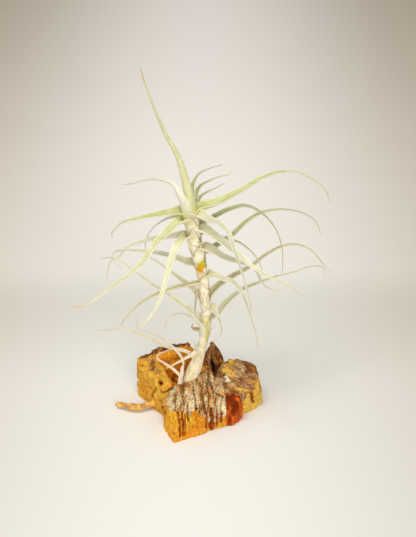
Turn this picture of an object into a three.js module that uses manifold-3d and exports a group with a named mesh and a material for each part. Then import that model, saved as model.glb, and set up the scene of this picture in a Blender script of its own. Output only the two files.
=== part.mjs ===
// A grey-leaved air plant, Tillandsia paleacea, on its mount of virgin cork bark, at its real size.
// Millimetres, +Z up. The origin is on the surface that the cork stands on, under the foot of the stem;
// -Y is the side that the plant is looked at from, and +X is to that viewer's right.
import * as THREE from "three";
import { mergeVertices } from "three/addons/utils/BufferGeometryUtils.js";
import Module from "manifold-3d";

const wasm = await Module();
wasm.setup();
const DEG = Math.PI / 180;
const WELD = 1e-4; // points closer than this are one corner
const UP = new THREE.Vector3(0, 0, 1);
const FRONT = new THREE.Vector3(0, -1, 0);

// Driving dimensions
const GAP = 0.3; // clearance left between two pieces that touch
const LEAF_WIDTH = 8.6; // a full-grown leaf laid flat, at its foot
const LEAF_THICKNESS = 1.2; // the fleshy middle of a leaf at its foot
const LEAF_EDGE = 0.65; // a leaf's margin, and its tip
const LEAF_SHEATH = 5; // how far down the stem a leaf's clasping foot reaches
const STEM_RADIUS = 3.4; // the stem with the leaf sheaths that wrap it
const SHEATH_FLARE = 0.9; // how far a sheath's mouth stands out from the one above it
const SHEATH_PITCH = 11; // from one sheath's mouth to the next
const OFFSET_RADIUS = 2; // the young shoot at its foot
const TWIG_RADIUS = 2.2;

// Leaves, stem and twig are drawn on one upright drawing, as an eye sees the plant from above the
// horizon: [right, up, behind], where right and up are on the drawing and behind is the depth in Y.
const SIGHT_TILT = 25 * DEG;
const SIGHT_DISTANCE = 900;
const AIM = new THREE.Vector3(11.2, 0, 117);
const AIM_ON_DRAWING = { right: 11.2, up: 100.4 };
const EYE = new THREE.Vector3(0, -Math.cos(SIGHT_TILT), Math.sin(SIGHT_TILT))
  .multiplyScalar(SIGHT_DISTANCE)
  .add(AIM);

/** The point of the frame that stands at [right, up] on the drawing, at that depth. */
function place([right, up, behind]) {
  const rise = up - AIM_ON_DRAWING.up;
  const mark = new THREE.Vector3(
    AIM.x + right - AIM_ON_DRAWING.right,
    rise * Math.sin(SIGHT_TILT),
    AIM.z + rise * Math.cos(SIGHT_TILT),
  );
  const along = (behind - EYE.y) / (mark.y - EYE.y);
  return mark.sub(EYE).multiplyScalar(along).add(EYE);
}

// Solids
/** A geometry's closed surface as a solid that can be joined and cut. */
function solid(geometry) {
  const bare = new THREE.BufferGeometry();
  bare.setAttribute("position", geometry.getAttribute("position"));
  bare.setIndex(geometry.index);
  const merged = mergeVertices(bare, WELD);
  return new wasm.Manifold(
    new wasm.Mesh({
      numProp: 3,
      vertProperties: merged.attributes.position.array,
      triVerts: new Uint32Array(merged.index.array),
    }),
  );
}

/** The largest body of a solid: cuts can leave loose scraps behind. */
function largest(body) {
  return body.decompose().reduce((a, b) => (a.volume() > b.volume() ? a : b));
}

/** A solid as a geometry. */
function geometryOf(body) {
  const mesh = body.getMesh();
  const geometry = new THREE.BufferGeometry();
  geometry.setAttribute("position", new THREE.BufferAttribute(mesh.vertProperties, 3));
  geometry.setIndex(new THREE.BufferAttribute(mesh.triVerts, 1));
  geometry.computeVertexNormals();
  return geometry;
}

/** A geometry from points and the corner numbers of its triangles. */
function surface(points, corners) {
  return new THREE.BufferGeometry().setFromPoints(points).setIndex(corners);
}

const CLOSER_ENDS = 0.35; // how much closer stations stand at a route's two ends than at its middle
const TURNING_STEPS = 6; // small steps between stations, over which the upper side turns

/** Stations of a route: place, direction, and the side that starts at facing and turns with it. */
function stations(route, count, facing) {
  const curve = new THREE.CatmullRomCurve3(route, false, "centripetal");
  const steps = (count - 1) * TURNING_STEPS;
  const normal = facing.clone();
  const found = [];
  for (let i = 0; i <= steps; i++) {
    const turn = (i / steps) * 2 * Math.PI;
    const share = i / steps - (CLOSER_ENDS * Math.sin(turn)) / (2 * Math.PI);
    const direction = curve.getTangentAt(share);
    normal.addScaledVector(direction, -normal.dot(direction)).normalize();
    if (i % TURNING_STEPS) continue;
    found.push({ share, at: curve.getPointAt(share), direction, normal: normal.clone() });
  }
  return found;
}

/** Corner numbers of rings of points joined into a tube, closed by a point at each end. */
function ringCorners(rings, sides) {
  const corners = [];
  const [foot, tip] = [rings * sides, rings * sides + 1];
  const last = (rings - 1) * sides;
  for (let k = 0; k < sides; k++) {
    const next = (k + 1) % sides;
    for (let low = 0; low < last; low += sides) {
      corners.push(low + k, low + next, low + sides + next);
      corners.push(low + k, low + sides + next, low + sides + k);
    }
    corners.push(foot, next, k);
    corners.push(tip, last + k, last + next);
  }
  return corners;
}

/** A round limb along a route, whose radius is a function of the share of its length. */
function limb({ route, sides, count, radiusAt }, grow = 0) {
  const rows = stations(route.map(place), count, FRONT);
  const points = rows.flatMap(({ share, at, direction, normal }) => {
    const side = new THREE.Vector3().crossVectors(direction, normal);
    return Array.from({ length: sides }, (_, k) => {
      const angle = (k / sides) * 2 * Math.PI;
      const radius = radiusAt(share, angle) + grow;
      return at
        .clone()
        .addScaledVector(normal, radius * Math.cos(angle))
        .addScaledVector(side, radius * Math.sin(angle));
    });
  });
  const tip = rows.at(-1);
  points.push(rows[0].at.clone().addScaledVector(rows[0].direction, -grow));
  points.push(tip.at.clone().addScaledVector(tip.direction, grow));
  return solid(surface(points, ringCorners(count, sides)));
}

// Stem, offset shoot and twig
const FOOT_SWELL = { at: 0.13, over: 0.08, by: 1.6 };
const FOOT_WAIST = { at: 0.3, over: 0.06, by: -0.5 };
const BARE_SHARE = 0.25; // the lowest share of the stem, over which its sheaths fade out
const CROWN_FROM = 0.93; // the share of the stem's length above which it closes
const CROWN_TIP = 0.35; // the crown's tip, as a share of the stem's radius

const hump = ({ at, over, by }, share) => by * Math.exp(-(((share - at) / over) ** 2));

const STEM = {
  sides: 12,
  count: 34,
  route: [
    [-3.5, 14, 1], [-1, 26, 1], [3, 36, 1], [7, 47, 0.5], [9.2, 58, 0], [9.8, 68, 0], [9, 79, 0],
    [8.2, 90, 0], [7, 98, 0], [5, 107, 0], [2.8, 115, 0], [1.4, 124, 0], [0, 133, 0],
    [-1.8, 141, 0], [-2.6, 147, 0],
  ],
};
const STEM_LINE = new THREE.CatmullRomCurve3(STEM.route.map(place), false, "centripetal");
const STEM_LENGTH = STEM_LINE.getLength();
const STEM_DOWN = STEM_LINE.getTangent(0.7).negate(); // down the stem along its leafy part

/** The stem's radius: swollen at its foot, one sheath above another, and closed at the crown. */
STEM.radiusAt = (share, angle) => {
  const spiral = (share * STEM_LENGTH) / SHEATH_PITCH + angle / (2 * Math.PI);
  const sheath = SHEATH_FLARE * (spiral - Math.floor(spiral)) * Math.min(1, share / BARE_SHARE);
  const close = Math.max(0, (share - CROWN_FROM) / (1 - CROWN_FROM));
  const whole = STEM_RADIUS + sheath + hump(FOOT_SWELL, share) + hump(FOOT_WAIST, share);
  return whole * (1 - (1 - CROWN_TIP) * close);
};

const OFFSET_TAPER = 0.45; // how much of its foot's radius the offset shoot loses on its way up
const OFFSET_SHOOT = {
  sides: 8,
  count: 6,
  route: [[-8.6, 14, -2.5], [-8.2, 22, -2.5], [-7, 28, -2.5], [-6.4, 33, -2.5]],
  radiusAt: (share) => OFFSET_RADIUS * (1 - OFFSET_TAPER * share),
};

const TWIG_TAPER = 0.8; // how much thicker the twig is where it leaves the cork
const TWIG_KNOB = 0.25;
const TWIG_KNOBS = 3.4;
const TWIG_END = 0.2; // the share of the twig that rounds off at its free end
const TWIG_BLUNT = 0.5; // the free end's own radius, as a share of the twig's

const TWIG = {
  sides: 8,
  count: 16,
  route: [[-14, 5.5, 2], [-22, 6.6, 4.5], [-29, 6, 4.5], [-36, 3.6, 0.2], [-43, 3.8, 0.6],
    [-50, 5.2, 4.5], [-54, 5.5, 5]],
  radiusAt: (share) => {
    const knobs = TWIG_KNOB * Math.sin(share * TWIG_KNOBS * 2 * Math.PI);
    const end = Math.min(1, (1 - share) / TWIG_END + TWIG_BLUNT);
    return (TWIG_RADIUS + TWIG_TAPER * (1 - share) + knobs) * end;
  },
};

// Leaf blades
const BLADE_STATIONS = 13;
const BLADE_COLUMNS = 4;
const CURL_AT_FOOT = 68 * DEG; // half the angle that a leaf's cross-section bends through
const CURL_AT_TIP = 42 * DEG;
const TIP_SHARE = 0.17; // a leaf's width at its tip, as a share of the width at its foot
const FOOT_REACH = 1.1; // how far the foot of a leaf lies outside the stem's plain radius

/** A leaf's route in the frame, with a foot that clasps the stem where the leaf has a sheath. */
function rooted({ route, sheath = LEAF_SHEATH }) {
  const line = route.map(place);
  const out = line[1].clone().sub(line[0]).setZ(0).normalize();
  if (!sheath) return { line, inwards: out.negate() };
  const reach = out.clone().multiplyScalar(STEM_RADIUS + FOOT_REACH);
  const foot = line[0].clone().addScaledVector(STEM_DOWN, sheath).add(reach);
  const bend = line[0].clone().addScaledVector(STEM_DOWN, sheath / 4).add(reach);
  return { line: [foot, bend, ...line.slice(1)], inwards: out.negate() };
}

/** A channelled, tapering leaf along its route; grow makes it thicker all round. */
function blade(leaf, grow = 0) {
  const { width, taper = 1.5 } = leaf;
  const { line, inwards } = rooted(leaf);
  const rows = stations(line, BLADE_STATIONS, inwards);
  const points = rows.flatMap(({ share, at, direction, normal }, i) => {
    const end = i === 0 ? -grow : i === rows.length - 1 ? grow : 0;
    const side = new THREE.Vector3().crossVectors(direction, normal);
    const narrowing = TIP_SHARE + (1 - TIP_SHARE) * (1 - share) ** taper;
    const half = (width * LEAF_WIDTH * narrowing) / 2 + grow;
    const curl = CURL_AT_FOOT + (CURL_AT_TIP - CURL_AT_FOOT) * share;
    const radius = half / curl;
    const middle = LEAF_EDGE + (LEAF_THICKNESS - LEAF_EDGE) * (1 - share);
    return Array.from({ length: 2 * BLADE_COLUMNS }, (_, k) => {
      const face = k < BLADE_COLUMNS ? -1 : 1;
      const across = (2 * (k % BLADE_COLUMNS)) / (BLADE_COLUMNS - 1) - 1;
      const thick = middle + (LEAF_EDGE - middle) * across ** 2 + 2 * grow;
      const reach = radius - (face * thick) / 2;
      return at
        .clone()
        .addScaledVector(direction, end)
        .addScaledVector(side, reach * Math.sin(curl * across))
        .addScaledVector(normal, radius - reach * Math.cos(curl * across));
    });
  });
  return solid(surface(points, shellCorners(rows.length, BLADE_COLUMNS)));
}

/** Corner numbers of a thin shell: two faces with the same split into triangles, closed all round. */
function shellCorners(rows, columns) {
  const corners = [];
  const back = (i, k) => i * 2 * columns + k;
  const front = (i, k) => back(i, k) + columns;
  const quad = (a, b, c, d) => corners.push(a, b, c, a, c, d);
  const [end, edge] = [rows - 1, columns - 1];
  for (let i = 0; i < end; i++) {
    for (let k = 0; k < edge; k++) {
      quad(back(i, k), back(i + 1, k), back(i + 1, k + 1), back(i, k + 1));
      corners.push(front(i, k), front(i + 1, k + 1), front(i + 1, k));
      corners.push(front(i, k), front(i, k + 1), front(i + 1, k + 1));
    }
    quad(back(i, 0), front(i, 0), front(i + 1, 0), back(i + 1, 0));
    quad(back(i, edge), back(i + 1, edge), front(i + 1, edge), front(i, edge));
  }
  for (let k = 0; k < edge; k++) {
    quad(back(0, k), back(0, k + 1), front(0, k + 1), front(0, k));
    quad(back(end, k), front(end, k), front(end, k + 1), back(end, k + 1));
  }
  return corners;
}

// The cork mount: chunks of bark grown together round a hollow, cut off flat below
const BELOW = 3; // how far the chunks run below the flat cut before it is made
const [CUT_SIDE, CUT_DEPTH] = [300, 20]; // the block that is cut away below, wider than the cork
const COARSE_RING = 30; // points round an ordinary chunk
const FINE_RING = 66; // points round the furrowed one

/** Gentle lumps of bark: a push along the surface at a point of the frame. */
function lumps({ x, y, z }) {
  const broad = Math.sin(0.21 * x + 1.1) * Math.sin(0.19 * y + 0.4) * Math.sin(0.25 * z + 0.9);
  const close = Math.sin(0.63 * x + 0.3 * z) * Math.sin(0.57 * y - 0.4 * z + 2);
  return 1.3 * broad + 0.6 * close;
}

const FURROW_PITCH = 6.6; // from one furrow of the front chunk's bark to the next
const FURROW_DEPTH = 1.6;
const FURROWS_ALONG = 31 * DEG; // the front chunk's face runs this far round from +X

/** Furrows that run over the top of the front chunk and down its face. */
function furrows({ x, y, z }) {
  const along = x * Math.cos(FURROWS_ALONG) + y * Math.sin(FURROWS_ALONG);
  const wander = 0.8 * Math.sin(z / 6 + along / 9);
  const wave = Math.cos(((along + wander) / FURROW_PITCH) * Math.PI) ** 2;
  return -FURROW_DEPTH * Math.max(0, 1.7 * wave - 0.7) * Math.min(1, z / 9);
}

// Each corner of a chunk, anticlockwise from above: [x, y] on the floor, [x, y, z] on top of its side
const CHUNKS = {
  front: {
    furrowed: true, crown: 1.5,
    corners: [[-12, -41, -12.5, -39, 22.5], [6, -31, 5, -29.5, 25.5], [24, -20, 22, -18, 27.5],
      [26, -4, 20, -3, 31], [14, 9, 13, 7, 32], [-2, 9, -2, 4, 29.5], [-17, -4, -16, -5, 24.5],
      [-20.5, -24, -21, -20, 21]],
  },
  right: {
    crown: 1.5,
    corners: [[22, -14, 21, -8, 22], [36, -5, 33, -2, 21], [47, 4, 46, 6, 20],
      [52, 13, 49.5, 14, 22], [50, 26, 45, 22, 28], [34, 35, 33, 26, 31], [20, 31, 24, 22, 31.5],
      [14, 8, 17, 8, 30]],
  },
  left: {
    crown: 1,
    corners: [[-13, 3, -14, 3, 24], [-22, 24, -23, 22, 28], [-32, 37, -31, 36, 30],
      [-41, 32, -41, 31, 29], [-39.5, 22, -39.5, 22, 27], [-31, 8, -30, 8, 25.5],
      [-19, -9, -18.5, -9, 22]],
  },
  back: {
    crown: 0.5,
    corners: [[-22, 29, -22, 30, 29.5], [-4, 34, -5, 35, 32], [5, 40, 2, 40, 31],
      [-3, 46, -4, 45.5, 34], [-22, 42, -23, 41.5, 32], [-42, 33, -41, 33, 29],
      [-36, 24, -36, 25, 28]],
  },
  shard: {
    crown: 1,
    corners: [[5, 25, 9, 27, 31], [14, 18, 14, 23, 31], [25, 22, 21, 22, 32], [23, 35, 20, 31, 36],
      [14, 41, 14, 38, 37.5], [6, 36, 9, 34, 33]],
  },
  wedge: {
    crown: 1.5,
    corners: [[4, 3, 5, 6, 30], [16, 2, 13, 6, 32], [18, 12, 13, 12, 32], [6, 20, 7, 15, 29]],
  },
  knot: {
    crown: 1.5,
    corners: [[22, -19, 23, -17, 19], [29, -19, 28, -17, 19.5], [35, -14, 33, -12, 18],
      [37, -6, 34, -5, 17], [24, -4, 24, -6, 19]],
  },
  floor: {
    crown: 0.5,
    corners: [[-14, -8, -14, -4, 9], [14, 0, 14, 2, 10], [30, 10, 28, 10, 10], [22, 34, 20, 32, 10],
      [-2, 43, -2, 41, 10], [-33, 34, -32, 32, 9], [-28, 10, -26, 10, 9]],
  },
};

// Rings of a chunk: [share of its height, share of the way in to its middle]
const CHUNK_RINGS = [
  [0, 0], [0.14, 0], [0.3, 0], [0.46, 0], [0.62, 0], [0.78, 0.005], [0.9, 0.025], [0.98, 0.09],
  [1, 0.2], [1, 0.38], [1, 0.6], [1, 0.8],
];

/** One chunk of bark: its side rises from the floor's outline to the top's, and its top is crowned. */
function chunk({ corners, crown, furrowed = false }) {
  const sides = furrowed ? FINE_RING : COARSE_RING;
  const outline = (pick) =>
    new THREE.CatmullRomCurve3(corners.map(pick), true, "catmullrom", 0.25);
  const low = outline(([x, y]) => new THREE.Vector3(x, y, -BELOW));
  const high = outline(([, , x, y, z]) => new THREE.Vector3(x, y, z));
  const middle = new THREE.Vector3();
  corners.forEach(([, , x, y, z]) => middle.add(new THREE.Vector3(x, y, z)));
  middle.divideScalar(corners.length);
  const points = [];
  for (const [height, inset] of CHUNK_RINGS)
    for (let k = 0; k < sides; k++) {
      const point = low.getPoint(k / sides).lerp(high.getPoint(k / sides), height);
      const outward = point.clone().sub(middle).setZ(0).normalize();
      outward.multiplyScalar(1 - inset).addScaledVector(UP, inset);
      point.lerp(middle.clone().setZ(point.z + (middle.z - point.z) * inset), inset);
      point.z += crown * Math.sin((inset * Math.PI) / 2);
      const relief = lumps(point) + (furrowed ? furrows(point) * (1 - inset) : 0);
      points.push(point.addScaledVector(outward, relief));
    }
  points.push(middle.clone().setZ(-BELOW), middle.clone().addScaledVector(UP, crown));
  return solid(surface(points, ringCorners(CHUNK_RINGS.length, sides)));
}

/** The cork: every chunk joined, then cut flat where it stands. */
function corkMount() {
  const below = new THREE.BoxGeometry(CUT_SIDE, CUT_SIDE, CUT_DEPTH).translate(0, 0, -CUT_DEPTH / 2);
  return wasm.Manifold.union(Object.values(CHUNKS).map(chunk)).subtract(solid(below));
}

// Leaves on the stem: the ones in front first. Width is a share of LEAF_WIDTH.
const LEAVES = [
  {
    name: "leaf_left_front_long", width: 1.05,
    route: [[0, 134.5, 0], [-9, 132, -8], [-18, 124.6, -17], [-27, 115, -26], [-36, 102.8, -35],
      [-46, 94.3, -43], [-58, 86, -50], [-70, 77.6, -55], [-78, 73.2, -57], [-85.4, 74.6, -58]],
  },
  {
    name: "leaf_crown_right_front", width: 0.95,
    route: [[-1, 138, 0], [6, 136.5, -8], [13, 133.3, -16], [20, 130.8, -24], [25.5, 125, -30],
      [29.5, 113.5, -35], [33.5, 101.5, -37], [37.5, 89, -38], [42, 71, -38]],
  },
  {
    name: "leaf_spire", width: 1, taper: 1.35,
    route: [[-2, 139, 0], [-2, 150, -4.5], [-5, 163, -2], [-10, 179, 0], [-19, 195, 0],
      [-27, 214, -2], [-34, 233, -2], [-36.5, 242, -1]],
  },
  {
    name: "leaf_crown_right_long", width: 1,
    route: [[-1, 139, 0], [9, 142.5, 4], [22, 148, 9], [36, 155.5, 15], [48, 163, 20],
      [60, 167.5, 25], [72, 168, 29], [83, 163.5, 31], [93, 155.5, 31], [97, 146, 29]],
  },
  {
    name: "leaf_crown_left_back", width: 1.05, taper: 1.9,
    route: [[-1.5, 139, 0], [-7, 149, -1], [-10, 154, -1], [-13, 159, 1], [-18, 162, 5],
      [-25, 163.4, 11], [-34, 162.3, 18], [-42, 160, 23], [-49, 159.3, 26]],
  },
  {
    name: "leaf_left_level", width: 0.92,
    route: [[-0.5, 136.5, 0], [-8, 138.6, 0], [-17, 138.6, -3], [-28, 137.3, -5], [-39, 134.8, -5],
      [-48, 132.7, -3], [-53, 129, -1], [-56.3, 124.2, 1], [-55.5, 121.8, 1]],
  },
  {
    name: "leaf_crown_back_1", width: 0.6, sheath: 2,
    route: [[-1.5, 141, 0], [0.5, 150, 6], [0.8, 159, 14], [5, 166.5, 24], [12.5, 170.5, 35],
      [21.7, 173.3, 48]],
  },
  {
    name: "leaf_crown_back_2", width: 0.6, sheath: 2,
    route: [[-1.5, 138, 0], [2.5, 147, 11], [4.5, 156, 20], [10.5, 161, 31], [21, 165.2, 43],
      [25.5, 166, 48], [28.4, 169.8, 51]],
  },
  {
    name: "leaf_crown_back_3", width: 0.6, sheath: 2,
    route: [[-1, 134, 0], [3, 144.5, 10], [6, 150.3, 16], [12, 154.4, 26], [18.5, 157.7, 35],
      [23, 160.3, 42]],
  },
  {
    name: "leaf_left_back_thin", width: 0.5, sheath: 2,
    route: [[0, 131, 0], [-7, 135.5, 8], [-16.5, 135.6, 17], [-25, 130.8, 24], [-30, 125.5, 27],
      [-32.7, 119, 28], [-32.6, 113.4, 28]],
  },
  {
    name: "leaf_right_back_arch", width: 0.7,
    route: [[0.5, 130, 0], [13, 134.5, 7], [25, 141, 16], [37, 144, 23], [48, 139.5, 29],
      [58, 129, 33], [63, 115, 34], [63.5, 103, 33], [63, 96.5, 32]],
  },
  {
    name: "leaf_right_front_low_arch", width: 1,
    route: [[0.7, 128, 0], [10, 125.6, -8], [20, 119.5, -17], [31, 111, -25], [43, 101, -33],
      [55, 93.7, -39], [67, 88.2, -43], [77, 82, -45]],
  },
  {
    name: "leaf_front_hanging", width: 0.95, taper: 1.1,
    route: [[1.4, 124, 0], [-4, 121.5, -8], [-9.5, 116.5, -18], [-14, 107, -28], [-17, 96.5, -37],
      [-20, 85.5, -45], [-24.5, 73.5, -51], [-31, 64.5, -54], [-38.5, 56.7, -55]],
  },
  {
    name: "leaf_left_arch", width: 0.78,
    route: [[1.6, 122.5, 0], [-8, 122.6, 3], [-18, 122, 7], [-29, 120.4, 10], [-39, 117.3, 12],
      [-46, 114.3, 12], [-51, 108, 12], [-56.5, 105.5, 11], [-59, 98, 10], [-59, 92, 9],
      [-57, 90.6, 9]],
  },
  {
    name: "leaf_right_thin", width: 0.5, sheath: 2,
    route: [[2, 124, 0], [13, 124.2, 6], [24, 121, 12], [34, 118, 17], [43.5, 110, 20],
      [48.3, 102, 20], [49, 97.5, 19], [47.5, 94, 18]],
  },
  {
    name: "leaf_back_upper", width: 0.85,
    route: [[2, 118, 0], [2.5, 126, 18], [1.5, 132, 36], [0, 133, 52], [-1, 127, 64], [0, 117, 70]],
  },
  {
    name: "leaf_right_front_upper", width: 0.9,
    route: [[3, 114, 0], [12, 112.6, -5], [22, 108, -11], [33, 104.4, -15], [42, 101.8, -17],
      [46, 96, -18], [49, 90, -18], [55, 86, -17], [61, 85, -16], [64, 87, -16]],
  },
  {
    name: "leaf_right_back_long", width: 0.8,
    route: [[4.2, 110, 0], [12, 112, 7], [19, 117, 15], [28, 123.2, 25], [39, 133.6, 37],
      [49, 139.3, 47], [61.5, 141.6, 56], [75.5, 139.8, 63], [86, 134, 67], [90.3, 124.6, 67]],
  },
  {
    name: "leaf_left_back_long", width: 0.8,
    route: [[5, 107, 0], [-4, 105.5, 4], [-13, 108.4, 9], [-24, 111, 16], [-37, 112.5, 22],
      [-48, 112.8, 26], [-54, 112, 28], [-56, 108.5, 28], [-49.5, 100.4, 27]],
  },
  {
    name: "leaf_right_front_lower", width: 0.72,
    route: [[6, 96.5, 0], [13, 95.3, -5], [22, 93, -13], [30, 89.5, -20], [35, 82.8, -25],
      [39, 72.5, -28], [42.5, 61.5, -29], [45.5, 51.5, -29], [46, 43.5, -28]],
  },
  {
    name: "leaf_left_front_lower", width: 0.72, taper: 1.2,
    route: [[7, 91, 0], [0, 88.6, -4], [-9, 87.3, -8], [-20, 84, -12], [-30, 79.6, -16],
      [-39, 73.3, -19], [-46.5, 65.2, -21], [-51, 58.8, -22]],
  },
  {
    name: "leaf_back_lower", width: 0.75,
    route: [[8, 88, 0], [8.5, 95, 18], [7.5, 101, 34], [6, 105, 50], [5, 101, 61], [4, 92, 67]],
  },
  {
    name: "leaf_right_back_middle", width: 0.75,
    route: [[8, 80, 0], [18, 87.4, 7], [29.5, 95, 17], [41, 101.5, 27], [52, 110, 36],
      [63, 115.8, 43], [74, 117, 48], [84, 112.8, 51], [91, 104.5, 51], [96, 98.7, 50]],
  },
  {
    name: "leaf_left_back_middle", width: 0.66,
    route: [[8.4, 80, 0], [2, 84.3, 6], [-5.5, 90.8, 14], [-15, 98.2, 23], [-24, 104.8, 31],
      [-34, 111, 38]],
  },
  {
    name: "leaf_right_curled_back", width: 0.6, sheath: 3,
    route: [[9, 74, 0], [14.5, 72.5, -3], [17.4, 67.5, -5], [19.8, 61, -6], [20.6, 56.2, -6],
      [18.5, 52, -5], [15, 49.3, -4]],
  },
  {
    name: "leaf_left_back_lower", width: 0.7,
    route: [[9.4, 62, 0], [2.5, 67.8, 6], [-6.5, 74.7, 14], [-17, 82.3, 23], [-28, 89.3, 32],
      [-39, 97.6, 41], [-48, 104, 48], [-57, 107.9, 54], [-64.5, 107.2, 57]],
  },
  {
    name: "leaf_right_back_lower", width: 0.65,
    route: [[9, 66, 0], [17.5, 67.5, 6], [22, 74, 13], [34, 84.6, 24], [45, 89.6, 34],
      [58, 94.2, 44], [72, 98, 53], [84, 102, 58], [91, 101.5, 60], [93.5, 98.5, 60],
      [92.6, 95.5, 59]],
  },
  {
    name: "leaf_left_lowest", width: 0.6, sheath: 3,
    route: [[9.2, 54, 0], [5.6, 60, -4], [-1, 66.2, -8], [-9, 68.6, -12], [-14.5, 66.8, -15],
      [-18, 62.3, -17], [-19.6, 58, -18]],
  },
];

// Dead leaves, thin and pale, on the stem's foot and on the offset shoot
const DRY_LEAVES = [
  {
    name: "dry_leaf_on_stem", width: 0.38, sheath: 0,
    route: [[2.9, 84.5, -3], [2.5, 80, -3.4], [2.2, 75, -3.4], [2, 71, -3.2], [2.4, 67.5, -2.6]],
  },
  {
    name: "dry_leaf_hooked", width: 0.36, sheath: 2,
    route: [[8.8, 56, 0.5], [2.5, 57.6, 2], [0.4, 59.6, 2], [1, 62, 2]],
  },
  {
    name: "dry_leaf_crossing", width: 0.42, taper: 0.9, sheath: 3,
    route: [[5.6, 43, 0.6], [0.5, 39.5, -4], [-5, 37, -7], [-11, 33.8, -9], [-19, 30, -9]],
  },
  {
    name: "dry_leaf_long", width: 0.5, taper: 0.9, sheath: 6,
    route: [[3.6, 38, 1], [-5, 42, 3], [-12, 43.5, 3], [-20, 46.2, 2], [-29, 50.4, 0],
      [-37, 54.3, -1], [-43, 56.7, -2], [-48, 58.5, -2], [-53, 58, -2], [-60, 57.2, -1],
      [-67, 57.2, 0]],
  },
  {
    name: "offset_leaf_looped", width: 0.4, taper: 0.8, sheath: 0,
    route: [[-7.8, 24, -2.5], [-14, 30, 0], [-20.5, 34.3, 3], [-24.2, 36.6, 4.2], [-25, 38.7, 5],
      [-23.6, 40.6, 6], [-20, 42, 7], [-14.5, 44, 8], [-9, 44, 8.5]],
  },
  {
    name: "offset_leaf_long", width: 0.42, taper: 0.9, sheath: 0,
    route: [[-6.4, 33.4, -2.5], [-8, 38, -2.5], [-12, 43.3, -2.5], [-17.5, 48.6, -2.5],
      [-25, 53.4, -5], [-33, 56, -6], [-37.8, 57.9, -6], [-38.6, 62, -6], [-37.5, 69, -5]],
  },
];

// Materials
const finish = (color, roughness) =>
  new THREE.MeshStandardMaterial({ color, roughness, metalness: 0 });
const CORK = finish(0xc08a3e, 0.9);
const STEM_SKIN = finish(0xe6dcc0, 0.8);
const TWIG_BARK = finish(0xd9a13c, 0.85);
const LEAF = finish(0xcfd4a8, 0.8);
const DRY_LEAF = finish(0xe3cfa6, 0.85);

// Assembly
const plant = new THREE.Group();

/** Adds one piece of the plant as a named mesh. */
function add(name, body, material) {
  const mesh = new THREE.Mesh(geometryOf(body), material);
  mesh.name = name;
  plant.add(mesh);
}

const limbs = [STEM, OFFSET_SHOOT, TWIG];
const cleared = wasm.Manifold.union(limbs.map((part) => limb(part, GAP)));
const cork = corkMount();
add("cork_mount", largest(cork.subtract(cleared)), CORK);
add("stem", limb(STEM), STEM_SKIN);
add("offset_shoot", largest(limb(OFFSET_SHOOT).subtract(limb(STEM, GAP))), STEM_SKIN);
add("side_twig", limb(TWIG), TWIG_BARK);

// Each leaf is trimmed where its foot meets the stem, the cork and the leaves placed before it.
const taken = [cleared, cork];
for (const [leaves, material] of [[LEAVES, LEAF], [DRY_LEAVES, DRY_LEAF]])
  for (const leaf of leaves) {
    const trimmed = taken.reduce((left, other) => left.subtract(other), blade(leaf));
    add(leaf.name, largest(trimmed), material);
    taken.push(blade(leaf, GAP));
  }

export default plant;
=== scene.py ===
"""A grey-leaved air plant, Tillandsia paleacea, on its chunk of virgin cork bark.

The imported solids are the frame. Each one is replaced here by a finer piece of the same form:
leaves grown along their routes with a down of scales, a stem wrapped in papery sheaths, and
cork with its bark, furrows, pits and stains. Lengths are in millimetres until a mesh is made.
"""

import logging
import math
from collections.abc import Mapping, Sequence
from dataclasses import dataclass, field
from enum import Enum

import bpy
import numpy as np
from bpy.types import Material, Mesh, Node, NodeTree, Object
from bpy.types import NodeSocket as Socket
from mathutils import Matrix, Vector
from mathutils.kdtree import KDTree


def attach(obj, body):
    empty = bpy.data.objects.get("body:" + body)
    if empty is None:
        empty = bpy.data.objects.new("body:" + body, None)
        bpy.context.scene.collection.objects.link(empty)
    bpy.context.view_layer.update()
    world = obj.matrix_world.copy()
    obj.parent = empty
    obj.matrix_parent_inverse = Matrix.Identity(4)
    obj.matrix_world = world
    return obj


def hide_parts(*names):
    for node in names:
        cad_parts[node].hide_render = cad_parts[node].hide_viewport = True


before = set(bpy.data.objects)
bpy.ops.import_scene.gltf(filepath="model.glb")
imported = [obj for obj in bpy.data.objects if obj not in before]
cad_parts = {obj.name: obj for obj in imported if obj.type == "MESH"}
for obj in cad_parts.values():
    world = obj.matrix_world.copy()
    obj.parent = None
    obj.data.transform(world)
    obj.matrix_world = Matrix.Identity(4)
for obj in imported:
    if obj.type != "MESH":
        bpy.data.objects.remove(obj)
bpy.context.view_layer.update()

MM = 0.001
# Whole numbers that stir the cells of the noise
CELL_PRIMES = (374761393, 668265263, 2147483647)
SEED_PRIME, STIR_PRIME = 974711, 1274126177
WORD, HALF_WORD = 0xFFFFFFFF, 0xFFFF
SEED_SHIFT = 17.13
LAYER_FADE = 0.55
ROUTE_SAMPLES = 24
ROUTE_STEP, LIMB_STEP = 0.5, 0.4
TOWARDS_EYE = np.array([0.0, -1.0, 0.0])
# Yellow-green, amber and brown, in the order of the mesh's channels; the brown also paints shadow
# on the stem
STAINS = ("c6bf08", "dca00c", "86603c")
# How ragged the edges of broad and of fine marks on the cork are, and where every mark fades
BROAD_EDGE, FINE_EDGE = 1.4, 0.8
MARK_FADES = (0.45, 1.25)
log = logging.getLogger("air_plant")

Mark = tuple[float, float, float]
Pair = tuple[float, float]
Colour = tuple[float, float, float, float]


def paint(code: str) -> Colour:
    """A screen colour such as "e0a030" as the linear colour that a shader takes."""
    parts = [int(code[i : i + 2], 16) / 255 for i in (0, 2, 4)]
    linear = [p / 12.92 if p <= 0.04045 else ((p + 0.055) / 1.055) ** 2.4 for p in parts]
    return (linear[0], linear[1], linear[2], 1.0)


def ease(value: np.ndarray, low: float, high: float) -> np.ndarray:
    """0 below low, 1 above high, and a smooth rise between them."""
    t = np.clip((value - low) / (high - low), 0.0, 1.0)
    return t * t * (3 - 2 * t)


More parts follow.
